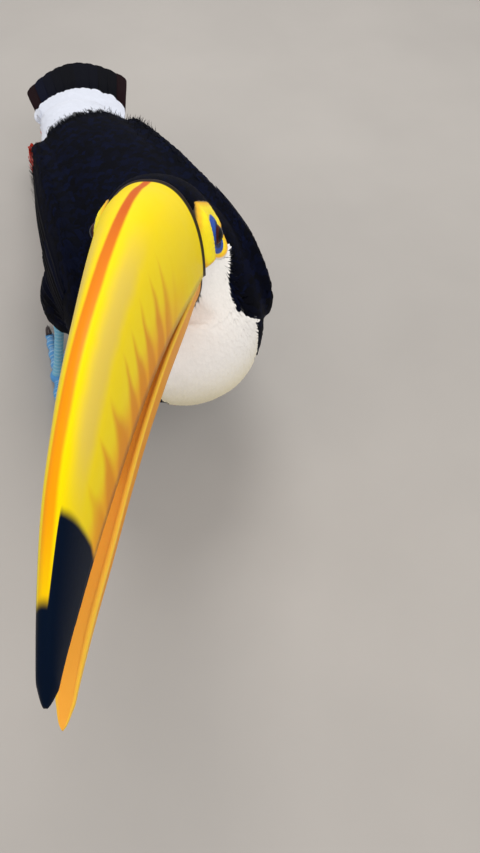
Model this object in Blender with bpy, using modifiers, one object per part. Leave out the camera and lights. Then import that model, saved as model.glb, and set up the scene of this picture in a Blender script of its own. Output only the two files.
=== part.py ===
"""A toco toucan at life size, standing with its head turned and its bill raised.

The bird faces -Y and its left side is +X. Its own reference is the point of the floor
under the middle of the trunk, and the whole bird is moved at the end so that the middle
of its box stands over the origin. Lengths are in metres.
"""
import math

import bmesh
import bpy
import numpy as np
from mathutils import Matrix, Vector

GAP = 0.0003                    # clearance between parts that touch
FORM_VOXEL = 0.0045             # grain of the blended body form
FORM_SHARE = 0.142              # share of the blended form's faces that is kept
FORM_SOFTENING = 6              # rounds of smoothing over its joins
BIG = 0.30                      # half side of a block that cuts a whole region away

# Trunk, from the breast to the end of the tail coverts: y, half width, lowest and highest z
TRUNK_STATIONS = (
    (-0.107, 0.006, 0.088, 0.100),
    (-0.103, 0.018, 0.077, 0.112),
    (-0.093, 0.032, 0.065, 0.127),
    (-0.075, 0.044, 0.054, 0.140),
    (-0.050, 0.051, 0.048, 0.146),
    (-0.020, 0.053, 0.046, 0.146),
    (0.010, 0.051, 0.048, 0.142),
    (0.040, 0.047, 0.054, 0.138),
    (0.070, 0.040, 0.064, 0.133),
    (0.100, 0.033, 0.077, 0.126),
    (0.125, 0.027, 0.086, 0.118),
    (0.152, 0.020, 0.092, 0.1095),
    (0.161, 0.006, 0.097, 0.104),
)
TRUNK_ROUNDNESS = 2.15          # power of the section's superellipse, 2 is an ellipse
TRUNK_RINGS = 36
TRUNK_SIDES = 28

NECK_CENTRE = (0.0013, -0.040, 0.122)
NECK_RADII = (0.041, 0.047, 0.036)
NECK_SEGMENTS = (32, 20)        # round and down the neck's ball

# Head and bill share a frame: forward along the bill, left, and up through the crown
HEAD_TURN = math.radians(26.2)   # to the bird's right
HEAD_LIFT = math.radians(22)    # bill raised above the level
BILL_ROOT = (-0.0144, -0.0714, 0.1563)
# Head, from the face to the nape: distance forward, half width, lowest and highest
HEAD_STATIONS = (
    (-0.002, 0.0240, -0.030, 0.0330),
    (-0.012, 0.0268, -0.032, 0.0338),
    (-0.026, 0.0288, -0.034, 0.0326),
    (-0.042, 0.0288, -0.035, 0.0280),
    (-0.056, 0.0250, -0.034, 0.0195),
    (-0.066, 0.0180, -0.030, 0.0090),
    (-0.072, 0.0060, -0.018, -0.0020),
)
HEAD_RINGS = 20
THROAT_BELOW = 0.031            # the head's part ends this far under its axis,
NAPE_BEHIND = 0.052             # this far behind the root of the bill
CHEEK_ASIDE = 0.036             # and this far to each side

# Bill: distance forward, culmen, cutting edge and keel of the lower half, half width
BILL_STATIONS = (
    (-0.0040, 0.0336, -0.0080, -0.0300, 0.0240),
    (0.026, 0.0384, -0.0060, -0.0315, 0.0210),
    (0.0625, 0.0387, -0.0060, -0.0314, 0.0162),
    (0.104, 0.0325, -0.0094, -0.0298, 0.0116),
    (0.146, 0.0195, -0.0155, -0.0294, 0.0081),
    (0.175, 0.0020, -0.0222, -0.0312, 0.0053),
    (0.196, -0.0225, -0.0312, -0.0352, 0.0024),
    (0.200, -0.0300, -0.0335, -0.0364, 0.0012),
)
BILL_ROUNDNESS = 2.3
BILL_RINGS = 20
BILL_CROWDING = 1.35            # above 1, the rings stand closer together towards the tip
BILL_SIDES = 12
LOWER_SHORTER = 0.0030          # the lower half stops short of the hook
LOWER_BLUNTING = 0.016          # length over which its tip rounds off
LOWER_TIP_WIDTH = 0.14          # share of the width that is left at its tip
LOWER_TIP_DEPTH = 0.30          # share of the depth that no rounding takes
LOWER_NARROWER = 0.93
LOWER_TUCKED = 0.006            # the lower half starts this far back, under the cheeks
HORN_WALL = 0.0020              # each half is a horn shell, hollow inside up to the head
UPPER_HOLLOW_END = 0.158        # distance forward where the hollow ends
LOWER_HOLLOW_END = 0.146
HOLLOW_BACK = 0.012             # the cutter of a hollow starts this far behind the face
HOLLOW_RINGS = 9
GAPE = math.radians(5)          # the bill is a little open
GAPE_HINGE = (-0.010, -0.009)   # forward and up in the head's frame

TONGUE_SPAN = (0.024, 0.130)
TONGUE_HALF_WIDTHS = (0.0055, 0.0016)
TONGUE_THICKNESS = 0.0012
TONGUE_ROUNDNESS = 2.6
TONGUE_RINGS = 8
TONGUE_SIDES = 8

EYE_CENTRE = (-0.0215, 0.0224, 0.0055)
EYE_RADIUS = 0.0075
EYE_SEGMENTS = (14, 8)

# Wing, folded: its outline from the side as y and z, from the bend along the lower edge
WING_OUTLINE = (
    (-0.072, 0.101), (-0.066, 0.084), (-0.048, 0.073), (-0.015, 0.069), (0.025, 0.072),
    (0.065, 0.083), (0.095, 0.096), (0.109, 0.106), (0.103, 0.115), (0.080, 0.122),
    (0.050, 0.128), (0.020, 0.132), (-0.020, 0.134), (-0.050, 0.127), (-0.068, 0.115),
)
WING_OUTLINE_STEPS = 2          # points on each stretch of the outline
WING_THICKNESS = 0.0062
WINGS_APART = 0.004             # each wing's edge from the middle of the back

RUMP_FROM = 0.101               # the white rump begins at this y
COLLAR_LOW = (-0.095, 0.055)    # the collar runs up from here, as y and z
COLLAR_HIGH = (0.005, 0.146)    # over the shoulders to here

# Tail: a low roof of overlapping feathers, in a frame along its own length
TAIL_ROOT = (0.002, 0.112, 0.1025)
TAIL_TURN = math.radians(10.5)  # to the bird's left
TAIL_DROP = math.radians(10.5)
TAIL_LENGTH = 0.151
TAIL_HALF_WIDTHS = (0.021, 0.042)
TAIL_FLARE = 0.8                # below 1, it widens most near its root
TAIL_ROUNDING = 0.014           # the outer feathers are shorter by this much
TAIL_SQUARENESS = 2.6           # above 2, the end is straight and only its corners round off
TAIL_ARCH = 0.010               # the edges hang lower than the middle
TAIL_THICKNESS = (0.0046, 0.0022)
TAIL_THINNER_ASIDE = 0.35       # share of the thickness that is lost out to the edges
TAIL_FEATHERS = 10
TAIL_NOTCH = 0.0022             # depth of the notch between two feather tips
TAIL_STEPS_ALONG = 6
TAIL_STEPS_PER_FEATHER = 2

# Legs. The foot's centre, the ankle and the knee, for each side; x is outward
HUB = {"left": (0.0446, 0.012), "right": (0.0707, 0.009)}
ANKLE = {"left": (0.0460, 0.021, 0.046), "right": (0.0577, 0.0185, 0.046)}
FOOT_TURN = {"left": -10, "right": 8}       # outward, in degrees
THIGH_TOP = (0.0330, -0.002, 0.086)
THIGH_STATIONS = ((0.0, 0.024), (0.30, 0.0265), (0.60, 0.0215), (0.82, 0.0135), (1.0, 0.0062))
THIGH_RINGS = 8
THIGH_SIDES = 12
SHANK_RADII = (0.0040, 0.0030, 0.0030, 0.0043)
SHANK_SIDES = 10
HUB_RADIUS = 0.0058             # ball of the foot
HUB_SHAPE = (1.0, 1.1, 0.85)
HUB_SEGMENTS = (12, 8)
HUB_HEIGHT = 0.0062             # the shank's axis starts at this height
HUB_LIFT = 0.0012               # the ball's middle is this far above the axes of the toes
FOOT_TOP = 0.0125               # the foot's part ends at this height
TOE_HEIGHT = 0.0028             # axis of a toe above the floor
TOE_SIDES = 8
# Toes, two to the front and two to the back: turn outward from straight ahead in degrees,
# length to the claw, radius at the root and at the tip, number of joints that bulge
TOES = {
    "inner_front": (-17, 0.030, 0.0037, 0.0029, 2),
    "outer_front": (7, 0.042, 0.0038, 0.0030, 3),
    "outer_back": (178, 0.040, 0.0037, 0.0029, 4),
    "inner_back": (206, 0.024, 0.0035, 0.0028, 1),
}
TOE_START = 0.0015              # a toe begins this far out from the middle of the foot
TOE_BULGE = 0.13
TOE_RINGS_PER_JOINT = 3
TOE_RINGS_MORE = 3
CLAW_LENGTH = 0.0115
CLAW_RADIUS = 0.0024
CLAW_TIP = 0.0003
CLAW_LIFT = 0.0008              # a claw's root is this far above the axis of its toe
CLAW_RISE = 0.0016              # the claw's back arches this far above its root
CLAW_ARCH = 1.25                # that arch ends before the tip, by this factor
CLAW_HOOK = 2.2                 # above 1, the claw turns down mostly towards its tip
CLAW_TAPER = 0.8
CLAW_CLEAR = 0.0009             # the middle of its tip stays this far above the floor
CLAW_RINGS = 6
CLAW_SIDES = 6

PARTS = "Toco toucan"
TOOLS = "Cutters"

COLOURS = {
    "black_plumage": ((0.010, 0.010, 0.014), 0.55),
    "white_plumage": ((0.82, 0.80, 0.76), 0.80),
    "bill_horn": ((0.85, 0.50, 0.02), 0.30),
    "lower_bill_horn": ((0.72, 0.26, 0.01), 0.32),
    "tongue_skin": ((0.20, 0.09, 0.05), 0.50),
    "eye": ((0.020, 0.008, 0.006), 0.08),
    "foot_scales": ((0.10, 0.33, 0.62), 0.50),
    "claw_horn": ((0.030, 0.012, 0.010), 0.40),
}


def clear_scene():
    for item in list(bpy.data.objects):
        bpy.data.objects.remove(item)
    for name in (PARTS, TOOLS):
        bpy.context.scene.collection.children.link(bpy.data.collections.new(name))


def material(name):
    found = bpy.data.materials.get(name)
    if found:
        return found
    colour, roughness = COLOURS[name]
    made = bpy.data.materials.new(name)
    made.use_nodes = True
    shader = made.node_tree.nodes["Principled BSDF"]
    shader.inputs["Base Color"].default_value = (*colour, 1.0)
    shader.inputs["Roughness"].default_value = roughness
    return made


def add_object(name, mesh, group=PARTS, finish=None, frame=None):
    made = bpy.data.objects.new(name, mesh)
    bpy.data.collections[group].objects.link(made)
    if frame is not None:
        made.matrix_world = frame
    if finish:
        mesh.materials.clear()
        mesh.materials.append(material(finish))
    if group == TOOLS:
        made.hide_render = True
        made.display_type = "WIRE"
    return made


def from_bmesh(name, shape, **where):
    bmesh.ops.recalc_face_normals(shape, faces=shape.faces[:])
    mesh = bpy.data.meshes.new(name)
    shape.to_mesh(mesh)
    shape.free()
    mesh.shade_smooth()
    return add_object(name, mesh, **where)


def loft(name, rings, **where):
    """A closed skin over rings of equal count, with a fan over each end."""
    shape = bmesh.new()
    rows = [[shape.verts.new(point) for point in ring] for ring in rings]
    count = len(rows[0])
    for near, far in zip(rows, rows[1:]):
        for i in range(count):
            j = (i + 1) % count
            shape.faces.new((near[i], near[j], far[j], far[i]))
    for row in (rows[0], rows[-1]):
        middle = shape.verts.new(sum((v.co for v in row), Vector()) / count)
        for i in range(count):
            shape.faces.new((row[i], row[(i + 1) % count], middle))
    return from_bmesh(name, shape, **where)


def smooth(rows, at):
    """The row at a station, on a curve that passes through all the rows."""
    table = np.array(rows, dtype=float)
    stations = table[:, 0]
    sign = 1.0 if stations[-1] > stations[0] else -1.0
    slopes = np.gradient(table[:, 1:], stations, axis=0)
    i = int(np.clip(np.searchsorted(sign * stations, sign * at) - 1, 0, len(rows) - 2))
    span = stations[i + 1] - stations[i]
    t = (at - stations[i]) / span
    start, end = table[i, 1:], table[i + 1, 1:]
    value = ((1 + 2 * t) * (1 - t) ** 2 * start + t * t * (3 - 2 * t) * end
             + t * (1 - t) ** 2 * span * slopes[i] - t * t * (1 - t) * span * slopes[i + 1])
    return [float(number) for number in value]


def ease(count, first, last):
    """Stations from first to last, closer together near both ends."""
    steps = np.linspace(0.0, 1.0, count)
    return first + (last - first) * (0.75 * (0.5 - 0.5 * np.cos(math.pi * steps)) + 0.25 * steps)


def power_point(angle, power):
    """Cosine and sine, pushed out to a superellipse."""
    c, s = math.cos(angle), math.sin(angle)
    return (math.copysign(abs(c) ** (2 / power), c), math.copysign(abs(s) ** (2 / power), s))


def oval(half_width, low, high, power, sides):
    """Across and up, round one section."""
    middle, half = (low + high) / 2, (high - low) / 2
    for i in range(sides):
        across, up = power_point(math.tau * i / sides, power)
        yield half_width * across, middle + half * up


def evaluated_copy(source, name):
    depsgraph = bpy.context.evaluated_depsgraph_get()
    mesh = bpy.data.meshes.new_from_object(source.evaluated_get(depsgraph))
    mesh.transform(source.matrix_world)
    mesh.name = name
    return mesh


def grown(source, name, by):
    """A cutter: the source with its surface moved out along its normals."""
    tool = add_object(name, evaluated_copy(source, name), group=TOOLS)
    push = tool.modifiers.new("Clearance", "DISPLACE")
    push.strength = by
    push.mid_level = 0.0
    return tool


def block(name, frame, low, high):
    """A cutting block between two corners of a frame."""
    shape = bmesh.new()
    bmesh.ops.create_cube(shape, size=1.0)
    for vert in shape.verts:
        vert.co = Vector((low[k] + (high[k] - low[k]) * (vert.co[k] + 0.5) for k in range(3)))
    return from_bmesh(name, shape, group=TOOLS, frame=frame)


def boolean(target, tool, operation):
    cut = target.modifiers.new(operation.title() + " " + tool.name, "BOOLEAN")
    cut.operation = operation
    cut.object = tool
    cut.solver = "EXACT"


def region(whole, name, finish, keep=(), drop=()):
    """A part of the whole form: what lies in all of keep and in none of drop."""
    made = add_object(name, evaluated_copy(whole, name), finish=finish)
    for tool in keep:
        boolean(made, tool, "INTERSECT")
    for tool in drop:
        boolean(made, tool, "DIFFERENCE")
    return made


def head_frame():
    turn = Matrix.Rotation(-HEAD_TURN, 4, "Z")
    lift = Matrix.Rotation(-HEAD_LIFT, 4, "X")
    axes = Matrix(((0, 1, 0, 0), (-1, 0, 0, 0), (0, 0, 1, 0), (0, 0, 0, 1)))
    return Matrix.Translation(BILL_ROOT) @ turn @ lift @ axes


def body_form(head):
    """Trunk, neck and head blended into one smooth form."""
    trunk_rings = []
    for y in ease(TRUNK_RINGS, TRUNK_STATIONS[0][0], TRUNK_STATIONS[-1][0]):
        half_width, low, high = smooth(TRUNK_STATIONS, y)
        trunk_rings.append([(x, y, z) for x, z in oval(half_width, low, high, TRUNK_ROUNDNESS,
                                                       TRUNK_SIDES)])
    head_rings = []
    for forward in ease(HEAD_RINGS, HEAD_STATIONS[0][0], HEAD_STATIONS[-1][0]):
        half_width, low, high = smooth(HEAD_STATIONS, forward)
        head_rings.append([head @ Vector((forward, left, up)) for left, up in
                           oval(half_width, low, high, TRUNK_ROUNDNESS, TRUNK_SIDES)])
    form = loft("Body form", trunk_rings, group=TOOLS)
    pieces = [loft("Head form", head_rings, group=TOOLS)]
    neck = bmesh.new()
    bmesh.ops.create_uvsphere(neck, u_segments=NECK_SEGMENTS[0], v_segments=NECK_SEGMENTS[1],
                              radius=1.0)
    bmesh.ops.scale(neck, vec=NECK_RADII, verts=neck.verts)
    bmesh.ops.translate(neck, vec=NECK_CENTRE, verts=neck.verts)
    pieces.append(from_bmesh("Neck form", neck, group=TOOLS))
    for piece in pieces:
        boolean(form, piece, "UNION")
    remesh = form.modifiers.new("Blend", "REMESH")
    remesh.mode = "VOXEL"
    remesh.voxel_size = FORM_VOXEL
    soften = form.modifiers.new("Soften", "SMOOTH")
    soften.factor = 0.5
    soften.iterations = FORM_SOFTENING
    thin = form.modifiers.new("Thin", "DECIMATE")
    thin.ratio = FORM_SHARE
    return form


def flesh(form, head, jaw):
    """Head, neck, trunk and rump, parted from the body form."""
    back, side, under = NAPE_BEHIND, CHEEK_ASIDE, THROAT_BELOW
    face = BILL_STATIONS[0][0] - GAP
    head_block = block("Head block", head, (-back, -side, -under), (face, side, BIG))
    back, side, under = back + GAP, side + GAP, under + GAP
    head_room = block("Head room", head, (-back, -side, -under), (BIG, side, BIG))
    low, high = Vector((0.0, *COLLAR_LOW)), Vector((0.0, *COLLAR_HIGH))
    slope = math.atan2(high.z - low.z, high.y - low.y)
    collar = Matrix.Translation(low) @ Matrix.Rotation(slope, 4, "X")
    over = block("Collar front", collar, (-BIG, -BIG, GAP / 2), (BIG, BIG, BIG))
    under = block("Collar back", collar, (-BIG, -BIG, -BIG), (BIG, BIG, -GAP / 2))
    level = Matrix.Identity(4)
    fore = block("Before the rump", level, (-BIG, -BIG, -BIG), (BIG, RUMP_FROM - GAP / 2, BIG))
    aft = block("Behind the trunk", level, (-BIG, RUMP_FROM + GAP / 2, -BIG), (BIG, BIG, BIG))
    skull = region(form, "head", "white_plumage", keep=(head_block, over))
    region(form, "neck", "white_plumage", keep=(over,),
           drop=(head_room, grown(jaw, "Jaw room", GAP)))
    region(form, "trunk", "black_plumage", keep=(under, fore))
    region(form, "rump", "white_plumage", keep=(aft,))
    return skull


def eyes(head, skull):
    for side, sign in (("left", 1), ("right", -1)):
        centre = Vector((EYE_CENTRE[0], sign * EYE_CENTRE[1], EYE_CENTRE[2]))
        for name, radius, group in (("eye_" + side, EYE_RADIUS, PARTS),
                                    ("Socket " + side, EYE_RADIUS + GAP, TOOLS)):
            ball = bmesh.new()
            bmesh.ops.create_uvsphere(ball, u_segments=EYE_SEGMENTS[0],
                                      v_segments=EYE_SEGMENTS[1], radius=radius)
            made = from_bmesh(name, ball, group=group, frame=head @ Matrix.Translation(centre),
                              finish="eye")
        boolean(skull, made, "DIFFERENCE")


def bill_half(forward, roof, edge, half_width):
    """Half of the bill's section: an arch from one cutting edge over to the other."""
    ring = []
    for i in range(BILL_SIDES + 1):
        across, up = power_point(math.pi * i / BILL_SIDES, BILL_ROUNDNESS)
        ring.append((forward, half_width * across, edge + (roof - edge) * up))
    return ring


def drop_jaw(point):
    """A point of the lower half, swung down about the hinge of the gape."""
    forward, up = point[0] - GAPE_HINGE[0], point[2] - GAPE_HINGE[1]
    c, s = math.cos(GAPE), math.sin(GAPE)
    return (GAPE_HINGE[0] + forward * c + up * s, point[1], GAPE_HINGE[1] - forward * s + up * c)


def upper_section(forward, wall=0.0):
    """Section of the upper half, or of its hollow when a wall is given."""
    roof, edge, _, half_width = smooth(BILL_STATIONS, forward)
    return bill_half(forward, roof - wall, edge + wall, half_width - wall)


def lower_section(forward, end, wall=0.0):
    """Section of the lower half, which rounds off in front, or of its hollow."""
    _, edge, keel, half_width = smooth(BILL_STATIONS, forward)
    left_over = min(1.0, (end - forward) / LOWER_BLUNTING)
    blunt = max(math.sqrt(left_over), LOWER_TIP_WIDTH)
    depth = LOWER_TIP_DEPTH + (1 - LOWER_TIP_DEPTH) * blunt
    keel = edge - (edge - GAP - keel) * depth
    half_width = LOWER_NARROWER * half_width * blunt
    return bill_half(forward, keel + wall, edge - GAP - wall, half_width - wall)


def hollow_out(half, sections, head):
    """Opens a half of the bill at its back, down to its horn walls."""
    cutter = loft(half.name + " hollow", sections, frame=head, group=TOOLS)
    boolean(half, cutter, "DIFFERENCE")


def moved_to(section, forward):
    return [(forward, across, up) for _, across, up in section]


def bill(head):
    face, tip = BILL_STATIONS[0][0], BILL_STATIONS[-1][0]
    steps = 1 - (1 - np.linspace(0, 1, BILL_RINGS)) ** BILL_CROWDING
    upper = [upper_section(forward) for forward in face + (tip - face) * steps]
    horn = loft("bill_upper", upper, frame=head, finish="bill_horn")
    hollow = [moved_to(upper_section(max(forward, face), HORN_WALL), forward)
              for forward in np.linspace(face - HOLLOW_BACK, UPPER_HOLLOW_END, HOLLOW_RINGS)]
    hollow_out(horn, hollow, head)
    root, end = face - LOWER_TUCKED, tip - LOWER_SHORTER
    lower = [moved_to(lower_section(max(forward, face), end), forward)
             for forward in root + (end - root) * steps]
    jaw = loft("bill_lower", [[drop_jaw(point) for point in ring] for ring in lower],
               frame=head, finish="lower_bill_horn")
    boolean(jaw, block("Face", head, (face, -BIG, -BIG), (BIG, BIG, BIG)), "INTERSECT")
    hollow = [moved_to(lower_section(max(forward, face), end, HORN_WALL), forward)
              for forward in np.linspace(face - HOLLOW_BACK, LOWER_HOLLOW_END, HOLLOW_RINGS)]
    hollow_out(jaw, [[drop_jaw(point) for point in ring] for ring in hollow], head)
    rings = []
    for t in np.linspace(0, 1, TONGUE_RINGS):
        forward = TONGUE_SPAN[0] + (TONGUE_SPAN[1] - TONGUE_SPAN[0]) * t
        edge = smooth(BILL_STATIONS, forward)[1]
        half = TONGUE_HALF_WIDTHS[0] + (TONGUE_HALF_WIDTHS[1] - TONGUE_HALF_WIDTHS[0]) * t
        lift = edge + GAP
        rings.append([drop_jaw((forward, across, up)) for across, up in
                      oval(half, lift, lift + TONGUE_THICKNESS, TONGUE_ROUNDNESS,
                           TONGUE_SIDES)])
    loft("tongue", rings, frame=head, finish="tongue_skin")
    return jaw


def closed_curve(points, steps):
    """A smooth closed outline through the points (a uniform Catmull-Rom curve)."""
    count = len(points)
    line = [Vector(point) for point in points]
    for i in range(count):
        a, b, c, d = (line[(i + k) % count] for k in (-1, 0, 1, 2))
        for step in range(steps):
            t = step / steps
            yield 0.5 * (2 * b + (c - a) * t + (2 * a - 5 * b + 4 * c - d) * t ** 2
                         + (3 * b - a - 3 * c + d) * t ** 3)


def wings(form):
    """Each wing is a layer over the side of the body, inside the wing's outline."""
    outline = list(closed_curve(WING_OUTLINE, WING_OUTLINE_STEPS))
    clear = grown(form, "Body room", GAP)
    made = {}
    for side, sign in (("left", 1), ("right", -1)):
        rings = [[(sign * x, p[0], p[1]) for p in outline] for x in (WINGS_APART, BIG)]
        shape = loft("Wing outline " + side, rings, group=TOOLS)
        layer = grown(form, "Wing layer " + side, WING_THICKNESS)
        wing = add_object("wing_" + side, evaluated_copy(layer, "wing_" + side),
                          finish="black_plumage")
        boolean(wing, shape, "INTERSECT")
        boolean(wing, clear, "DIFFERENCE")
        made[side] = wing
    return made, clear


def tail_frame():
    turn = Matrix.Rotation(-TAIL_TURN, 4, "Z")
    drop = Matrix.Rotation(-TAIL_DROP, 4, "X")
    return Matrix.Translation(TAIL_ROOT) @ turn @ drop


def tail(form):
    """Ten overlapping feathers as one low roof with a scalloped end."""
    columns = TAIL_FEATHERS * TAIL_STEPS_PER_FEATHER
    rings = []
    for t in np.linspace(0, 1, TAIL_STEPS_ALONG):
        upper, under = [], []
        half = (TAIL_HALF_WIDTHS[0]
                + (TAIL_HALF_WIDTHS[1] - TAIL_HALF_WIDTHS[0]) * t ** TAIL_FLARE)
        for i in range(columns + 1):
            across = 2 * i / columns - 1
            notch = TAIL_NOTCH * (1 - (i % TAIL_STEPS_PER_FEATHER > 0))
            length = TAIL_LENGTH - TAIL_ROUNDING * abs(across) ** TAIL_SQUARENESS - notch
            thick = TAIL_THICKNESS[0] + (TAIL_THICKNESS[1] - TAIL_THICKNESS[0]) * t
            thick *= 1 - TAIL_THINNER_ASIDE * abs(across)
            x, y, z = half * across, length * t, -TAIL_ARCH * across ** 2
            upper.append((x, y, z))
            under.append((x, y, z - thick))
        rings.append(upper + under[::-1])
    made = loft("tail", rings, frame=tail_frame(), finish="black_plumage")
    boolean(made, grown(form, "Rump room", GAP), "DIFFERENCE")


def sweep(name, path, radii, sides, square_to=None, **where):
    """A round bar along a path of points, with a radius at each."""
    points = [Vector(point) for point in path]
    rings = []
    for i, point in enumerate(points):
        along = (points[min(i + 1, len(points) - 1)] - points[max(i - 1, 0)]).normalized()
        if i == 0 and square_to:
            along = square_to
        across = along.cross(Vector((0, 0, 1)))
        if across.length < 1e-4:
            across = Vector((1, 0, 0))
        across.normalize()
        up = across.cross(along)
        rings.append([point + radii[i] * (math.cos(a) * across + math.sin(a) * up)
                      for a in (math.tau * k / sides for k in range(sides))])
    return loft(name, rings, **where)


def toe_way(side, sign, name):
    """Level direction of a toe."""
    turn = math.radians(TOES[name][0] + FOOT_TURN[side])
    return Vector((sign * math.sin(turn), -math.cos(turn), 0.0))


def toe(side, sign, name, hub):
    _, length, root, tip, joints = TOES[name]
    way = toe_way(side, sign, name)
    path, radii = [], []
    count = joints * TOE_RINGS_PER_JOINT + TOE_RINGS_MORE
    for i in range(count):
        t = i / (count - 1)
        bulge = 1 + TOE_BULGE * math.cos(math.tau * t * joints)
        radius = (root + (tip - root) * t) * bulge
        path.append(hub + way * (TOE_START + (length - TOE_START) * t)
                    + Vector((0, 0, TOE_HEIGHT)))
        radii.append(radius)
    return sweep("Toe " + name + " " + side, path, radii, TOE_SIDES, group=TOOLS)


def claw(side, sign, name, hub):
    length = TOES[name][1]
    way = toe_way(side, sign, name)
    start = hub + way * (length + GAP) + Vector((0, 0, TOE_HEIGHT + CLAW_LIFT))
    fall = start.z - CLAW_CLEAR
    path, radii = [], []
    for i in range(CLAW_RINGS):
        t = i / (CLAW_RINGS - 1)
        arch = math.sin(math.pi * min(1.0, t * CLAW_ARCH))
        lift = CLAW_RISE * arch - fall * t ** CLAW_HOOK
        path.append(start + way * CLAW_LENGTH * t + Vector((0, 0, lift)))
        radii.append(CLAW_RADIUS * (1 - t) ** CLAW_TAPER + CLAW_TIP)
    sweep("claw_" + side + "_" + name, path, radii, CLAW_SIDES, square_to=way,
          finish="claw_horn")


def leg(side, sign, form, wing, clear):
    hub = Vector((sign * HUB[side][0], HUB[side][1], 0.0))
    ankle = Vector((sign * ANKLE[side][0], *ANKLE[side][1:]))
    sole = hub + Vector((0, 0, HUB_HEIGHT))
    level = Matrix.Identity(4)
    floor = block("Floor " + side, level, (-BIG, -BIG, -BIG), (BIG, BIG, 0.0))
    under = block("Foot block " + side, level, (-BIG, -BIG, -BIG), (BIG, BIG, FOOT_TOP - GAP / 2))
    above = block("Shank block " + side, level, (-BIG, -BIG, FOOT_TOP + GAP / 2), (BIG, BIG, BIG))
    bar = [sole.lerp(ankle, t) for t in (0.0, 0.25, 0.75, 1.0)]

    foot = sweep("foot_" + side, bar, SHANK_RADII, SHANK_SIDES, finish="foot_scales")
    ball = bmesh.new()
    bmesh.ops.create_uvsphere(ball, u_segments=HUB_SEGMENTS[0], v_segments=HUB_SEGMENTS[1],
                              radius=HUB_RADIUS)
    bmesh.ops.scale(ball, vec=HUB_SHAPE, verts=ball.verts)
    bmesh.ops.translate(ball, vec=hub + Vector((0, 0, TOE_HEIGHT + HUB_LIFT)), verts=ball.verts)
    boolean(foot, from_bmesh("Ball " + side, ball, group=TOOLS), "UNION")
    for name in TOES:
        boolean(foot, toe(side, sign, name, hub), "UNION")
        claw(side, sign, name, hub)
    boolean(foot, under, "INTERSECT")
    boolean(foot, floor, "DIFFERENCE")

    shank = sweep("shank_" + side, bar, SHANK_RADII, SHANK_SIDES, finish="foot_scales")
    boolean(shank, above, "INTERSECT")

    top = Vector((sign * THIGH_TOP[0], *THIGH_TOP[1:]))
    path, radii = [], []
    for t in np.linspace(0, 1, THIGH_RINGS):
        path.append(top.lerp(ankle, t))
        radii.append(smooth(THIGH_STATIONS, t)[0])
    thigh = sweep("thigh_" + side, path, radii, THIGH_SIDES, finish="black_plumage")
    boolean(thigh, clear, "DIFFERENCE")
    boolean(thigh, grown(shank, "Shank room " + side, GAP), "DIFFERENCE")
    boolean(wing, grown(thigh, "Thigh room " + side, GAP), "DIFFERENCE")


def stand_over_origin():
    """Move every object so that the middle of the bird's box is over the origin."""
    bpy.context.view_layer.update()
    depsgraph = bpy.context.evaluated_depsgraph_get()
    corners = []
    for item in bpy.data.collections[PARTS].objects:
        ready = item.evaluated_get(depsgraph)
        corners += [item.matrix_world @ vert.co for vert in ready.data.vertices]
    low = [min(c[k] for c in corners) for k in range(3)]
    high = [max(c[k] for c in corners) for k in range(3)]
    shift = Matrix.Translation((-(low[0] + high[0]) / 2, -(low[1] + high[1]) / 2, -low[2]))
    for item in bpy.data.objects:
        item.matrix_world = shift @ item.matrix_world


def main():
    clear_scene()
    head = head_frame()
    form = body_form(head)
    jaw = bill(head)
    skull = flesh(form, head, jaw)
    eyes(head, skull)
    wing, clear = wings(form)
    tail(form)
    for side, sign in (("left", 1), ("right", -1)):
        leg(side, sign, form, wing[side], clear)
    stand_over_origin()


main()
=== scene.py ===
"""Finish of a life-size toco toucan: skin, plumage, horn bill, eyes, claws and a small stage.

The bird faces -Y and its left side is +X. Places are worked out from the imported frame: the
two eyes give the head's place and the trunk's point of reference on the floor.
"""
import math
from functools import cache, partial

import bmesh
import bpy
import numpy as np
from mathutils import Matrix, Vector
from mathutils.bvhtree import BVHTree


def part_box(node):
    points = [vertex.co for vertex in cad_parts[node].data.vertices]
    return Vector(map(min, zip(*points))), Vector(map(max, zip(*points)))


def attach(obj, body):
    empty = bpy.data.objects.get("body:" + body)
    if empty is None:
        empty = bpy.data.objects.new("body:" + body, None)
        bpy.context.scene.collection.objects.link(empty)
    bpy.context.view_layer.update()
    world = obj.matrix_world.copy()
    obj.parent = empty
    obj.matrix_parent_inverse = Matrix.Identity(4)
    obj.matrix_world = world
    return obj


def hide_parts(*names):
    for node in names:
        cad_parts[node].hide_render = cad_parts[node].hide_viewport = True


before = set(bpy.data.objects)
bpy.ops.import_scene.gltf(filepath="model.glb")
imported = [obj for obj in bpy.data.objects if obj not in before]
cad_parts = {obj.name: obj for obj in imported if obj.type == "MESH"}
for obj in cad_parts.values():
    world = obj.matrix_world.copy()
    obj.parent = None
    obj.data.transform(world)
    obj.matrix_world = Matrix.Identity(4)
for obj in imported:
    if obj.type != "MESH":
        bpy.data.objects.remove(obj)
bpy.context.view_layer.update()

bl_info = {
    "name": "Toco toucan finish",
    "version": (1, 0, 0),
    "blender": (4, 5, 0),
    "location": "3D View > Sidebar > Toucan",
    "description": "Builds the skin, plumage, bill, eyes and claws of a life-size toco toucan",
    "category": "Object",
}

# Axes of the head: it is turned to the bird's right and its bill is raised
HEAD_TURN = math.radians(26.2)
HEAD_LIFT = math.radians(22)
EYE_AT = np.array((-0.0215, 0.0224, 0.0055))    # forward, left and up from the bill's root
ROOT_AT = np.array((-0.0144, -0.0714, 0.1563))  # the bill's root from the trunk's reference
EYE_RADIUS = 0.0075
EYE_BULGE = 0.0023              # how far the clear front stands out of the ball
EYE_RING = 0.0080               # radius of the blue ring round the eye
EYE_RING_TILT = math.radians(18)

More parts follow.
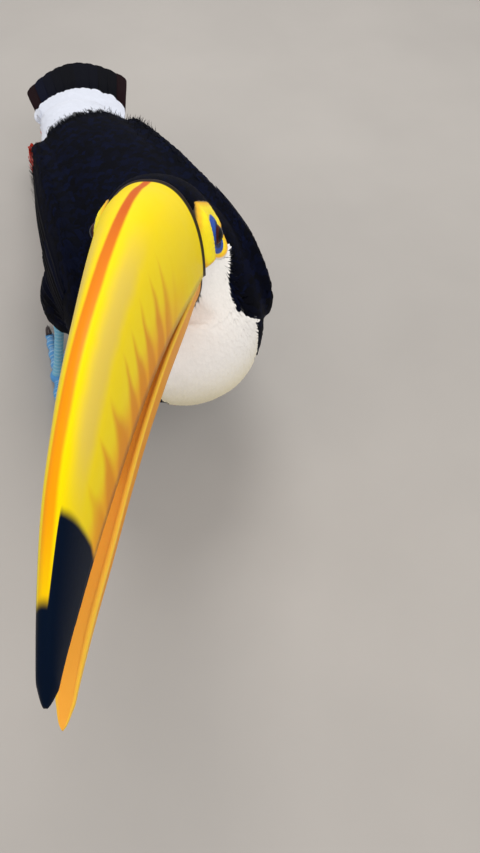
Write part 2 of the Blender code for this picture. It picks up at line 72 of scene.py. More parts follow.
FLESH = ("head", "neck", "trunk", "rump", "thigh_left", "thigh_right")
WINGS = ("wing_left", "wing_right")
LEGS = ("shank_left", "shank_right", "foot_left", "foot_right")
SIDES = (("left", 1.0), ("right", -1.0))

# Bill: distance forward, culmen, cutting edge and keel of the lower half, half width
BILL_STATIONS = (
    (-0.0040, 0.0336, -0.0080, -0.0300, 0.0240),
    (0.026, 0.0384, -0.0060, -0.0315, 0.0210),
    (0.0625, 0.0387, -0.0060, -0.0314, 0.0162),
    (0.104, 0.0325, -0.0094, -0.0298, 0.0116),
    (0.146, 0.0195, -0.0155, -0.0294, 0.0081),
    (0.175, 0.0020, -0.0222, -0.0312, 0.0054),
    (0.196, -0.0222, -0.0312, -0.0354, 0.0029),
    (0.2014, -0.0312, -0.0346, -0.0372, 0.0023),
)
BILL_ROUNDNESS = 2.3
FACE_FRONT = -0.0034            # the bare skin ends this far from the bill's root, under its rim
BILL_TUCK = 0.008               # the horn runs this far back under the skin of the face
GROWTH_LINE = 0.0046            # length of one notch of the cutting edges
GAPE = math.radians(5.4)
GAPE_HINGE = (-0.010, -0.009)
LOWER_SHORTER = 0.0024
LOWER_BLUNTING = 0.006
LOWER_NARROWER = 0.93

# Folded wing from the side: y, height of its lower edge, height of its upper edge
WING_EDGES = (
    (-0.072, 0.101, 0.104),
    (-0.066, 0.084, 0.117),
    (-0.048, 0.073, 0.127),
    (-0.015, 0.069, 0.134),
    (0.025, 0.072, 0.1315),
    (0.065, 0.083, 0.1255),
    (0.095, 0.096, 0.117),
    (0.109, 0.105, 0.107),
)

# Tail, in a frame along its own length
TAIL_ROOT = (0.002, 0.112, 0.1025)
TAIL_TURN = math.radians(10.5)
TAIL_DROP = math.radians(10.5)
TAIL_LENGTH = 0.153
TAIL_HALF_WIDTHS = (0.021, 0.042)
TAIL_ROUNDING = 0.0091          # how much shorter the outermost feathers are
TAIL_ARCH = 0.010
TAIL_FEATHERS = 10
TAIL_ONLY = 0.160               # behind this place along the body only tail feathers are
COVERTS_FROM = 0.030            # the white coverts over the tail start this far along it

# Camera: its place from the trunk's reference, and its turn to the right and downwards
CAMERA_AT = (-0.0725, -0.2971, 0.37)
CAMERA_TURN = math.radians(24.5)
CAMERA_TILT = math.radians(57)
# Lamps: name, place from the middle of the bird, size, strength, seen in gloss
LAMPS = (
    ("key", (0.25, 0.45, 0.85), 0.55, 1.0, True),
    ("fill", (0.3, -0.9, 0.9), 1.0, 1.3, False),
    ("side", (-0.9, 0.1, 0.5), 0.6, 0.4, False),
)

# Plumage: heights over the floor
HEAD_ABOVE = 0.128              # feathers above this height belong to the head
RED_RIM_BELOW = 0.078           # the bib's edge is red below this height

# Legs: the foot's centre and the ankle on each side, x outward
HUB = {"left": (0.0446, 0.012), "right": (0.0707, 0.009)}
ANKLE = {"left": (0.0460, 0.021, 0.046), "right": (0.0577, 0.0185, 0.046)}
FOOT_TURN = {"left": -10, "right": 8}
SHANK_RADII = ((0.0, 0.0040), (0.25, 0.0030), (0.75, 0.0030), (1.0, 0.0043))
HUB_RADIUS = 0.0058
HUB_HEIGHT = 0.0062
TOE_HEIGHT = 0.0028
# Toes: turn outward in degrees, length to the claw, radius at root and tip, joints
TOES = {
    "inner_front": (-17, 0.030, 0.0037, 0.0029, 2),
    "outer_front": (7, 0.042, 0.0038, 0.0030, 3),
    "outer_back": (178, 0.040, 0.0037, 0.0029, 4),
    "inner_back": (206, 0.024, 0.0035, 0.0028, 1),
}
TOE_BEAD = 0.0016               # length of one small scale under a toe
TOE_RING = 0.00042              # distance between two rings of a toe's mesh
CLAW_LENGTH = 0.0115
CLAW_RADIUS = 0.0024
CLAW_RISE = 0.0016

PATCH = 0.003                   # width of one tuft's patch on the baked map
SPOTS_TRIED = 3.2               # tries for each feather that finds room
ROOT_SLOPE = 0.11               # a feather's root lies this share of its length under its tip


def linear(code):
    """Linear colour of an sRGB hex code."""
    parts = [int(code[i:i + 2], 16) / 255 for i in (1, 3, 5)]
    return tuple(c / 12.92 if c <= 0.04045 else ((c + 0.055) / 1.055) ** 2.4 for c in parts)


def unit(vectors):
    return vectors / np.maximum(np.linalg.norm(vectors, axis=-1, keepdims=True), 1e-12)


def blend(first, second, share):
    """Between two rows of values: share 0 is the first, 1 the second."""
    return first * (1 - share) + second * share


def step(low, high, value):
    """0 below low, 1 above high, smooth between."""
    t = np.clip((value - low) / (high - low), 0.0, 1.0)
    return t * t * (3 - 2 * t)


def bell(value, middle, width):
    """1 at the middle, falling off smoothly on both sides."""
    return np.exp(-((value - middle) / width) ** 2)


def turned(angle, axis):
    return np.array(Matrix.Rotation(angle, 3, axis))


def head_axes():
    """Columns are forward, left and up of the head."""
    turn = turned(-HEAD_TURN, "Z") @ turned(-HEAD_LIFT, "X")
    return turn @ np.array(((0.0, 1.0, 0.0), (-1.0, 0.0, 0.0), (0.0, 0.0, 1.0)))


def eye_centre(side):
    low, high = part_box("eye_" + side)
    return np.array((low + high) / 2)


HEAD_AXES = head_axes()
EYES_MIDDLE = (eye_centre("left") + eye_centre("right")) / 2
HEAD_ROOT = EYES_MIDDLE - HEAD_AXES @ (EYE_AT * (1, 0, 1))
ORIGIN = HEAD_ROOT - ROOT_AT    # the trunk's reference point on the floor
TAIL_AXES = turned(-TAIL_TURN, "Z") @ turned(-TAIL_DROP, "X")


def from_head(points):
    return np.asarray(points) @ HEAD_AXES.T + HEAD_ROOT


def to_head(points):
    return (np.asarray(points) - HEAD_ROOT) @ HEAD_AXES


def from_tail(points):
    return np.asarray(points) @ TAIL_AXES.T + (ORIGIN + TAIL_ROOT)


def to_tail(points):
    return (np.asarray(points) - ORIGIN - TAIL_ROOT) @ TAIL_AXES


# ---- Settings ---------------------------------------------------------------------------

def size_of(name, default, text):
    return bpy.props.FloatProperty(name=name, description=text, default=default, min=0.0,
                                   precision=5, unit="LENGTH")


def colour_of(name, code, text):
    return bpy.props.FloatVectorProperty(name=name, description=text, subtype="COLOR", size=3,
                                         min=0.0, max=1.0, default=linear(code))


class ToucanPlumage(bpy.types.PropertyGroup):
    depth: size_of("Coat depth", 0.0034, "How far the skin lies under the feather tips")
    mantle_length: size_of("Body feather", 0.0135, "Length of a feather of back and belly")
    mantle_spacing: size_of("Body spacing", 0.0022, "Distance between two such feathers")
    bib_length: size_of("Bib feather", 0.0075, "Length of a silky feather of the bib")
    bib_spacing: size_of("Bib spacing", 0.00085, "Distance between two feathers of the bib")
    cheek_spacing: size_of("Cheek spacing", 0.00065, "Distance between two cheek feathers")
    crown_length: size_of("Crown feather", 0.0062, "Length of a feather of crown and nape")
    crown_spacing: size_of("Crown spacing", 0.0012, "Distance between two such feathers")
    black: colour_of("Black", "#07070B", "Main colour of the plumage")
    navy: colour_of("Navy", "#090D20", "Blue sheen of back, wings and tail")
    white: colour_of("White", "#F5F0E9", "Upper bib")
    cream: colour_of("Cream", "#EBDDAE", "Lower bib")
    rump: colour_of("Rump", "#CDD0DA", "Feathers over the root of the tail")
    maroon: colour_of("Maroon", "#190A0C", "Outermost tail feathers")
    red: colour_of("Red", "#D83A18", "Feathers under the tail, and a thin edge under the bib")


class ToucanHead(bpy.types.PropertyGroup):
    yellow: colour_of("Horn yellow", "#F2D400", "Sides of the upper bill")
    # Pale horn beside the ridge: partly the horn's own paler tone, partly a painted soft reflection
    # of the sky
    pale_sky_reflection: colour_of("Pale horn", "#DDBE58", "Beside the ridge")
    amber: colour_of("Amber", "#EE9E00", "Low on the sides")
    streak: colour_of("Streak", "#DC8600", "Flames on the sides")
    orange: colour_of("Ridge orange", "#CC5800", "Stripe along the ridge at the base")
    ridge_tip: colour_of("Ridge tip", "#F09604", "The stripe towards the tip")
    spot: colour_of("Tip spot", "#041022", "Dark spot at the tip")
    band: colour_of("Base band", "#1C0E08", "Dark line round the base of the bill")
    lower: colour_of("Lower horn", "#DC8A08", "Side of the lower bill")
    lower_edge: colour_of("Lower edge", "#F1BE3E", "Cutting edge of the lower bill")
    lining: colour_of("Lining", "#F2A23C", "Inside of the bill")
    face: colour_of("Face skin", "#FFE60A", "Bare skin round the eye")
    face_edge: colour_of("Face edge", "#F0B414", "Bare skin where the feathers begin")
    tongue: colour_of("Tongue", "#8A5A44", "Skin of the tongue")
    ring: colour_of("Eye ring", "#17479E", "Skin next to the eye")
    lid: colour_of("Lid rim", "#10204A", "Edge of the lids")
    iris: colour_of("Iris", "#4A1408", "Ring round the pupil")
    ridge_half_width: size_of("Ridge stripe", 0.0025, "Half width of the orange stripe")
    flame_spacing: size_of("Flame spacing", 0.0135, "Distance between two flames")
    lid_opening: size_of("Lid opening", 0.0050, "Half width of the open eye")


class ToucanLegs(bpy.types.PropertyGroup):
    blue: colour_of("Toe blue", "#4F94CC", "Scales of the toes")
    turquoise: colour_of("Shank blue", "#6FB0CA", "Scales of the shank")
    seam: colour_of("Seam", "#B4D2DC", "Dry edges of the scales")
    claw: colour_of("Claw", "#241310", "Horn of the claws")
    scute: size_of("Scale", 0.0026, "Length of one scale along a toe")


class ToucanStage(bpy.types.PropertyGroup):
    floor: colour_of("Floor", "#ABA59E", "Plain floor")
    key: bpy.props.FloatProperty(name="Key light", description="Strength of the main light",
                                 default=6.0, min=0.0, unit="POWER")
    lens: bpy.props.FloatProperty(name="Lens", description="Focal length in millimetres",
                                  default=28.0, min=1.0)


# ---- Small tools ------------------------------------------------------------------------

# For a MapRange node: a soft edge, 0 at its first limit and 1 at its second
SMOOTH = {"interpolation_type": "SMOOTHSTEP"}


def feed(socket, value):
    """Links an input to the output that feeds it, or sets its constant."""
    if isinstance(value, bpy.types.NodeSocket):
        socket.id_data.links.new(value, socket)
    else:
        socket.default_value = (*value[:3], 1.0) if socket.type == "RGBA" else value


def add(tree, kind, *values, output="", **settings):
    """Adds a node and gives its named output, or else its first open one.

    Values feed the open inputs in order. A setting with a capital letter feeds the input of
    that name, and any other is the node's own.
    """
    made = tree.nodes.new("ShaderNode" + kind)
    named = {name.replace("_", " "): settings.pop(name)
             for name in list(settings) if name[0].isupper()}
    for name, value in settings.items():
        setattr(made, name, value)
    for socket, value in zip([socket for socket in made.inputs if socket.enabled], values):
        feed(socket, value)
    for name, value in named.items():
        feed(made.inputs[name], value)
    return made.outputs[output] if output else next(s for s in made.outputs if s.enabled)


def finish_named(name):
    """A material, and the adding of nodes to it."""
    made = bpy.data.materials.new(name)
    made.use_nodes = True
    return made, partial(add, made.node_tree)


def complete(made, relief=(), **feeds):
    """Feeds a material's shader; relief is the height, strength and depth of its bumps."""
    shader = made.node_tree.nodes["Principled BSDF"]
    if relief:
        height, strength, depth = relief
        feeds["Normal"] = add(made.node_tree, "Bump", strength, depth, Height=height)
    for name, value in feeds.items():
        feed(shader.inputs[name.replace("_", " ")], value)
    return made


def stops(tone, *pairs):
    """Sets the stops of the ramp that gives a tone, each a place and a colour."""
    points = tone.node.color_ramp.elements
    while len(points) < len(pairs):
        points.new(1.0)
    for point, (place, colour) in zip(points, pairs):
        point.position = place
        point.color = (*colour[:3], 1.0)
    return tone


def product(node, share, *others):
    """Share of the surface that is left by all of several shares."""
    for other in others:
        share = node("Math", share, other, operation="MULTIPLY")
    return share


def layered(node, colour, *layers):
    """Colours laid over the first, each by its own share of the surface."""
    for over, share in layers:
        colour = node("Mix", share, colour, over, data_type="RGBA")
    return colour


def mesh_from(name, points, face_groups):
    """A mesh from points and from groups of faces, each group with its own corner count."""
    mesh = bpy.data.meshes.new(name)
    corners = np.concatenate([g.ravel() for g in face_groups]).astype(np.int32)
    totals = np.concatenate([np.full(len(g), g.shape[1]) for g in face_groups])
    starts = np.concatenate(([0], np.cumsum(totals)[:-1])).astype(np.int32)
    mesh.vertices.add(len(points))
    mesh.vertices.foreach_set("co", np.ascontiguousarray(points, dtype=np.float32).ravel())
    mesh.loops.add(len(corners))
    mesh.loops.foreach_set("vertex_index", corners)
    mesh.polygons.add(len(totals))
    mesh.polygons.foreach_set("loop_start", starts)
    mesh.update(calc_edges=True)
    return mesh


def add_piece(name, mesh, *finishes):
    piece = bpy.data.objects.new(name, mesh)
    bpy.context.scene.collection.objects.link(piece)
    for finish in finishes:
        mesh.materials.append(finish)
    mesh.shade_smooth()
    return piece


def settle(piece, slot, *nodes):
    """Rides a piece on the still body, in place of the nodes that it stands for."""
    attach(piece, "root")
    if nodes:
        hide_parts(*nodes)


def put_values(mesh, name, values, kind="FLOAT"):
    """Stores one value a point, a number or a colour."""
    layer = mesh.attributes.new(name, kind, "POINT")
    if kind == "FLOAT":
        layer.data.foreach_set("value", np.asarray(values, dtype=np.float32).ravel())
    else:
        rgba = np.ones((len(mesh.vertices), 4), dtype=np.float32)
        rgba[:, :3] = values
        layer.data.foreach_set("color", rgba.ravel())


def put_map(mesh, name, places):
    """Stores a UV map given one place a point."""
    corners = np.empty(len(mesh.loops), dtype=np.int32)
    mesh.loops.foreach_get("vertex_index", corners)
    layer = mesh.uv_layers.new(name=name)
    layer.uv.foreach_set("vector", np.asarray(places, dtype=np.float32)[corners].ravel())


def mesh_points(mesh):
    points = np.empty(len(mesh.vertices) * 3, dtype=np.float32)
    mesh.vertices.foreach_get("co", points)
    return points.reshape(-1, 3).astype(float)


def move_points(mesh, points):
    mesh.vertices.foreach_set("co", points.astype(np.float32).ravel())


def mesh_normals(mesh):
    normals = np.empty(len(mesh.vertices) * 3, dtype=np.float32)
    mesh.vertex_normals.foreach_get("vector", normals)
    return normals.reshape(-1, 3).astype(float)


def loft_faces(rings, sides, looped=False):
    """Faces of a tube of rings: closed by a flat face over each end, or joined end to end."""
    ring, side = np.meshgrid(np.arange(rings - (not looped)), np.arange(sides), indexing="ij")
    beside, beyond = (side + 1) % sides, (ring + 1) % rings
    quads = np.stack((ring * sides + side, ring * sides + beside,
                      beyond * sides + beside, beyond * sides + side), axis=-1)
    ends = np.stack((np.arange(sides)[::-1], (rings - 1) * sides + np.arange(sides)))
    return [quads.reshape(-1, 4)] if looped else [quads.reshape(-1, 4), ends]


def lofted(name, rings, looped=False):
    """A closed mesh through rings of points, with its faces outwards."""
    mesh = mesh_from(name, rings.reshape(-1, 3), loft_faces(*rings.shape[:2], looped))
    shape = bmesh.new()
    shape.from_mesh(mesh)
    bmesh.ops.recalc_face_normals(shape, faces=shape.faces[:])
    shape.to_mesh(mesh)
    shape.free()
    return mesh


def ball(name, centre, radius, segments, rings, scale=(1.0, 1.0, 1.0)):
    bpy.ops.object.select_all(action="DESELECT")
    bpy.ops.mesh.primitive_uv_sphere_add(segments=segments, ring_count=rings, radius=radius,
                                         location=centre, scale=scale)
    piece = bpy.context.object
    bpy.ops.object.transform_apply(location=True, rotation=True, scale=True)
    piece.name = piece.data.name = name
    piece.data.shade_smooth()
    return piece


def join(name, pieces):
    """Joins pieces into the first of them."""
    bpy.ops.object.select_all(action="DESELECT")
    for piece in pieces:
        piece.select_set(True)
    bpy.context.view_layer.objects.active = pieces[0]
    bpy.ops.object.join()
    pieces[0].name = name
    pieces[0].data.name = name
    return pieces[0]


def smooth_row(rows, at):
    """The row at a station, on a curve that passes through all the rows."""
    table = np.array(rows, dtype=float)
    stations = table[:, 0]
    slopes = np.gradient(table[:, 1:], stations, axis=0)
    i = int(np.clip(np.searchsorted(stations, at) - 1, 0, len(rows) - 2))
    span = stations[i + 1] - stations[i]
    t = (at - stations[i]) / span
    start, end = table[i, 1:], table[i + 1, 1:]
    return ((1 + 2 * t) * (1 - t) ** 2 * start + t * t * (3 - 2 * t) * end
            + t * (1 - t) ** 2 * span * slopes[i] - t * t * (1 - t) * span * slopes[i + 1])


# ---- Forms under the plumage ------------------------------------------------------------

def merged_form(name, nodes, voxel, rounds):
    """Copies of some nodes blended into one smooth closed form."""
    copies = []
    for node in nodes:
        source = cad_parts[node]
        copy = bpy.data.objects.new(name + "_" + node, source.data.copy())
        bpy.context.scene.collection.objects.link(copy)
        copies.append(copy)
    form = join(name, copies)
    form.data.materials.clear()
    bpy.ops.object.mode_set(mode="EDIT")
    bpy.ops.mesh.select_all(action="SELECT")
    bpy.ops.mesh.remove_doubles(threshold=0.00001)
    bpy.ops.object.mode_set(mode="OBJECT")
    remesh = form.modifiers.new("Remesh", "REMESH")
    remesh.mode = "VOXEL"
    remesh.voxel_size = voxel
    soften = form.modifiers.new("Soften", "SMOOTH")
    soften.factor = 0.5
    soften.iterations = rounds
    bpy.ops.object.modifier_apply(modifier="Remesh")
    bpy.ops.object.modifier_apply(modifier="Soften")
    x, y, z = (mesh_points(form.data) - ORIGIN).T
    shoulder = step(-0.092, -0.076, y) * step(-0.038, -0.054, y) * step(0.014, 0.022, np.abs(x))
    tail_root = step(0.118, 0.132, y) * step(0.178, 0.160, y) * step(0.086, 0.094, z)
    for seam, shares, passes in (("Shoulder", shoulder * step(0.134, 0.122, z), 22),
                                 ("Tail root", tail_root, 70)):
        group = form.vertex_groups.new(name=seam)
        for i in np.flatnonzero(shares > 0.01):
            group.add([int(i)], float(shares[i]), "REPLACE")
        ease = form.modifiers.new(seam, "SMOOTH")
        ease.vertex_group = seam
        ease.factor = 0.5
        ease.iterations = passes
        bpy.ops.object.modifier_apply(modifier=seam)
    form.vertex_groups.clear()
    return form


class Guide:
    """The outer surface on which feather tips lie."""

    def __init__(self, nodes):
        form = merged_form("guide", nodes, 0.0018, 9)
        mesh = form.data
        self.points = mesh_points(mesh)
        faces = [tuple(face.vertices) for face in mesh.polygons]
        self.tree = BVHTree.FromPolygons([tuple(p) for p in self.points], faces)
        normals = mesh_normals(mesh)
        self.face_normals = unit(np.array([normals[list(f)].sum(0) for f in faces]))
        self.centres = np.array([self.points[list(f)].mean(0) for f in faces])
        self.corners = np.array([(f * 2)[:4] if len(f) == 4 else (*f, f[2]) for f in faces])
        areas = np.empty(len(faces), dtype=np.float32)
        mesh.polygons.foreach_get("area", areas)
        self.areas = areas.astype(float)
        bpy.data.objects.remove(form)

    def drop(self, points):
        """Nearest places on the surface, and the normals there."""
        places = np.empty_like(points)
        normals = np.empty_like(points)
        for i, point in enumerate(points):
            place, _, face, _ = self.tree.find_nearest(point)
            places[i] = place
            normals[i] = self.face_normals[face]
        return places, normals

    def from_side(self, y, z, sign):
        """Where a level line from the bird's side meets the surface."""
        start = Vector((ORIGIN[0] + sign * 0.2, y, z))
        place, _, face, _ = self.tree.ray_cast(start, Vector((-sign, 0, 0)))
        if place is None:
            place, _, face, _ = self.tree.find_nearest(start + Vector((-sign * 0.15, 0, 0)))
        return np.array(place), self.face_normals[face]

    def scatter(self, weight, spacing, rng):
        """Points spread over the surface where weight is above 0, spacing apart."""
        share = self.areas * (weight(self.centres, self.face_normals) > 0)
        count = int(share.sum() / spacing ** 2 * SPOTS_TRIED)
        if count == 0:
            return np.empty((0, 3)), np.empty((0, 3))
        faces = rng.choice(len(share), size=count, p=share / share.sum())
        a, b = rng.random((2, count, 1))
        p = self.points[self.corners[faces]]
        spots = blend(blend(p[:, 0], p[:, 1], a), blend(p[:, 3], p[:, 2], a), b)
        cells = {}
        kept = []
        keys = np.floor(spots / spacing).astype(int)
        for i, (spot, key) in enumerate(zip(spots, keys)):
            near = [k for dx in (-1, 0, 1) for dy in (-1, 0, 1) for dz in (-1, 0, 1)
                    for k in cells.get((key[0] + dx, key[1] + dy, key[2] + dz), ())]
            if near and np.min(((spots[near] - spot) ** 2).sum(1)) < spacing ** 2:
                continue
            cells.setdefault(tuple(key), []).append(i)
            kept.append(i)
        return spots[kept], self.face_normals[faces[kept]]


@cache
def guide(with_bill=False):
    nodes = FLESH + WINGS + ("tail", "eye_left", "eye_right")
    return Guide(nodes + ("bill_upper", "bill_lower") * with_bill)


# ---- Markings, shared by skin and coat --------------------------------------------------

def wing_edges(y):
    """Heights of the folded wing's lower and upper edge at a place along the body."""
    ys, lows, highs = np.array(WING_EDGES).T
    return np.interp(y, ys, lows), np.interp(y, ys, highs)


def wing_place(points):
    """How far along the folded wing a point lies, and how far up between its edges."""
    _, y, z = (points - ORIGIN).T
    start, end = WING_EDGES[0][0], WING_EDGES[-1][0]
    low, high = wing_edges(y)
    return (y - start) / (end - start), (z - low) / np.maximum(high - low, 0.004)


def on_wing(points):
    along, up = wing_place(points)
    aside = np.abs(points[:, 0] - ORIGIN[0]) > 0.020
    return (along > 0) & (along < 1) & (up > -0.02) & (up < 0.86) & aside


def covert_room(points):
    """How far the white coverts still reach towards the end of the tail."""
    across, back, _ = to_tail(points).T
    return 0.0965 - 0.0175 * (np.abs(across + 0.005) / 0.035) ** 3 - back


def markings(points):
    """How far inside each marking the points lie, in metres; below 0 is outside."""
    x, y, z = (points - ORIGIN).T
    forward, left, up = to_head(points).T
    _, back, high = to_tail(points).T
    # Bare face: below the crown, before the cheek, above the throat, beside the culmen
    eye = np.hypot(forward - EYE_AT[0], up - EYE_AT[2])
    top = 0.0274 + 0.30 * forward - up
    rear = 0.0188 - np.hypot(forward + 0.0205, up - 0.0060)
    under = np.maximum(up + 0.405 * (forward + 0.0071) + 0.0062, 0.0112 - eye)
    face = np.minimum.reduce((top, rear, under, np.abs(left) - 0.010, forward + 0.045))
    # Bib: rounded below on the chest, and up over throat and cheeks
    half = 0.0292 * np.sqrt(np.clip((z - 0.060) / 0.036, 0.0, 1.0))
    chest = np.minimum.reduce((half - np.abs(x), -0.058 - y, z - 0.062))
    throat = np.minimum.reduce((forward + 0.0290, 0.0048 - up, 0.034 - np.abs(left)))
    bib = blend(chest, throat, step(0.112, 0.138, z))
    # White over the root of the tail, red under it
    red = np.minimum.reduce((y - 0.084, 0.097 - z, 0.136 - y))
    white = np.minimum(y - 0.0945, z - 0.0890)
    covert = np.minimum.reduce((covert_room(points), high + 0.012, back - COVERTS_FROM))
    white = np.maximum(white * (back < 0.060) - (back >= 0.060), covert)
    return {"face": face, "bib": bib, "rump": white, "vent": red}


def ring_distance(points):
    """Distance from the eye in a slightly upright oval, as the blue ring is drawn."""
    forward, _, up = np.moveaxis(to_head(points), -1, 0)
    a, b = forward - EYE_AT[0], up - EYE_AT[2]
    c, s = math.cos(EYE_RING_TILT), math.sin(EYE_RING_TILT)
    return np.hypot(a * c + b * s, (b * c - a * s) * 0.88)


def lie(points, normals):
    """Way that the feathers point, along the surface."""
    x, y, z = (points - ORIGIN).T
    up = to_head(points)[:, 2]
    flow = np.zeros_like(points)
    shelf = step(0.086, 0.108, z) * step(-0.056, -0.078, y) * step(0.029, 0.019, np.abs(x))
    flow[:, 1] = 1.0 - 2.2 * shelf
    flow[:, 2] = -0.12 - 1.4 * step(-0.045, -0.100, y)
    low = step(0.078, 0.056, z)[:, None] * step(0.062, 0.045, y)[:, None]
    flow = blend(flow, np.array((0.0, 0.55, -1.0)), low)
    head_flow = -HEAD_AXES[:, 0] - np.outer(0.75 * step(0.012, -0.012, up), HEAD_AXES[:, 2])
    share = (step(0.128, 0.150, z) * step(-0.002, -0.040, y))[:, None]
    flow = blend(unit(flow), unit(head_flow), share)
    return unit(flow - normals * (flow * normals).sum(1, keepdims=True))


def sheen(look, rng, count=1):
    """Black of some feathers, each with more or less of the blue sheen."""
    return blend(np.array(look.black), np.array(look.navy), rng.random((count, 1)) ** 2)


def plumage_colour(points, look, rng):
    """Colour of each tuft by its root, with a little difference from tuft to tuft."""
    marks = markings(points)
    count, z = len(points), points[:, 2] - ORIGIN[2]
    colour = sheen(look, rng, count)
    bib = blend(np.array(look.white), np.array(look.cream), step(0.118, 0.074, z)[:, None])
    bib = bib * (0.95 + 0.05 * rng.random((count, 1)))
    bib[(marks["bib"] < 0.0022) & (z < RED_RIM_BELOW)] = look.red
    white = np.array(look.rump) * (0.94 + 0.06 * rng.random((count, 1)))
    red = np.array(look.red) * (0.7 + 0.5 * rng.random((count, 1)))
    for mark, value in (("vent", red), ("rump", white), ("bib", bib)):
        inside = marks[mark] > 0
        colour[inside] = value[inside]
    return np.clip(colour, 0, 1)


# ---- Skin -------------------------------------------------------------------------------

def sink(points):
    """How far under the feather tips the skin lies at each point."""
    x, _, z = (points - ORIGIN).T
    depth = bpy.context.scene.toucan_plumage.depth + 0.0020 * on_wing(points)
    depth *= 1 - 0.55 * step(-0.060, -0.020, to_head(points)[:, 0]) * step(0.115, 0.140, z)
    depth *= 1 - 0.75 * step(-0.004, 0.002, markings(points)["face"])
    return depth * (1 - 0.6 * step(0.060, 0.045, z) * step(0.030, 0.036, np.abs(x)))


def skin_colours(points):
    look, head = bpy.context.scene.toucan_plumage, bpy.context.scene.toucan_head
    marks = markings(points)
    colour = np.tile(np.array(look.black) * 1.6, (len(points), 1))
    for mark, value in (("vent", look.red), ("rump", look.rump), ("bib", look.white)):
        colour = blend(colour, np.array(value) * 0.8, step(-0.0005, 0.0005, marks[mark])[:, None])
    rim = step(0.0004, 0.0032, marks["face"])[:, None]
    face = blend(np.array(head.face_edge), np.array(head.face), rim)
    colour = blend(colour, face, step(-0.0004, 0.0008, marks["face"])[:, None])
    ring = step(EYE_RING + 0.0003, EYE_RING - 0.0003, ring_distance(points))
    ring = ring * (marks["face"] > -0.004)
    return blend(colour, np.array(head.ring), ring[:, None])


def eye_patch(side, sign):
    """Bare skin round one eye: lid rim, wrinkled blue ring and yellow skin, as one collar."""
    opening = bpy.context.scene.toucan_head.lid_opening
    surface = guide(with_bill=True).tree
    spokes, rings = 120, 46
    outward = HEAD_AXES[:, 1] * sign
    turns = np.linspace(0, math.tau, spokes, endpoint=False)
    centre = EYE_AT * (1, 0, 1)
    shares = np.linspace(0, 1, rings)
    top = np.empty((rings, spokes, 3))
    for j, turn in enumerate(turns):
        way = np.array((math.cos(turn), 0.0, math.sin(turn)))
        reach = 0.011
        while reach < 0.030:
            spot = from_head(centre + way * reach + (0, sign * 0.03, 0))[None]
            if markings(spot)["face"][0] < -0.0010 or (centre + way * reach)[0] > FACE_FRONT:
                break
            reach += 0.0004
        for i, t in enumerate(shares):
            radius = opening + (reach - opening) * t ** 1.25
            flat = from_head(centre + way * radius + (0, sign * 0.06, 0))
            hit = surface.ray_cast(Vector(flat), Vector(-outward))[0]
            if hit is None:
                raise RuntimeError("the skin round the eye leaves the head")
            top[i, j] = np.array(hit)
    for _ in range(6):          # soften what is left of the form's grain
        inner = (np.roll(top, 1, 1) + np.roll(top, -1, 1) + top * 2) / 4
        inner[1:-1] = inner[1:-1] / 2 + (inner[:-2] + inner[2:]) / 4
        top = inner
    globe = from_head(EYE_AT * (1, sign, 1))
    reach = np.linalg.norm(top - globe, axis=2)
    near = step(0.0090, 0.0066, ring_distance(top))
    clear = np.maximum(reach, EYE_RADIUS + 0.0006) / reach
    top = blend(top, globe + (top - globe) * clear[..., None], near[..., None])
    flat = ring_distance(top)
    fold = 0.00035 * bell(flat, EYE_RING, 0.0006)
    swell = 0.00060 * bell(flat, 0.0067, 0.0010)
    rim = 0.00040 * bell(flat, opening + 0.0003, 0.00045)
    rays = np.cos(turns * 34)[None] * 0.00007 * step(0.0058, 0.0075, flat)
    grain = np.cos(turns * 61 + 2.0)[None] * np.cos(flat * 5200) * 0.00006
    edge = step(0.86, 1.0, shares)[:, None] * 0.0012
    puff = 0.0021 * step(0.0078, 0.0100, flat) * step(-0.0165, -0.0110, to_head(top)[..., 0])
    puff = puff * step(0.0, 0.35, 1 - shares)[:, None]
    height = swell + rim - fold + rays + grain + puff + 0.0003 - edge
    top = top + outward * height[..., None]
    under = top - outward * 0.0011
    rows = np.concatenate((top, under[::-1], blend(under[:1], globe, 0.12)))
    mesh = lofted("lids_" + side, rows, looped=True)
    rows = rows.reshape(-1, 3)
    colours = skin_colours(rows)
    lid = np.array(bpy.context.scene.toucan_head.lid)
    near_lid = step(opening + 0.0011, opening + 0.0004, ring_distance(rows))
    put_values(mesh, "Marking", blend(colours, lid, near_lid[:, None]), "FLOAT_COLOR")
    return add_piece("lids_" + side, mesh)


def sweep(name, path, radii, sides, flat=1.0, first=None):
    """A tube along a path; radii has a row a place on the path, with one value or one a side."""
    path = np.asarray(path, dtype=float)
    along = np.gradient(path, axis=0)
    if first is not None:
        along[0] = first
    along = unit(along)
    across = unit(np.cross(along, (0.0, 0.0, 1.0)) + np.array((1e-9, 0, 0)))
    up = np.cross(across, along)
    turn = math.tau * np.arange(sides) / sides
    round_path = (np.cos(turn)[:, None] * across[:, None]
                  + flat * np.sin(turn)[:, None] * up[:, None])
    return lofted(name, path[:, None] + radii[..., None] * round_path)


def hub_place(side, sign):
    """Middle of one foot, on the floor."""
    return ORIGIN * (1, 1, 0) + (sign * HUB[side][0], HUB[side][1], 0.0)


def toe_way(side, sign, name):
    turn = math.radians(TOES[name][0] + FOOT_TURN[side])
    return np.array((sign * math.sin(turn), -math.cos(turn), 0.0))


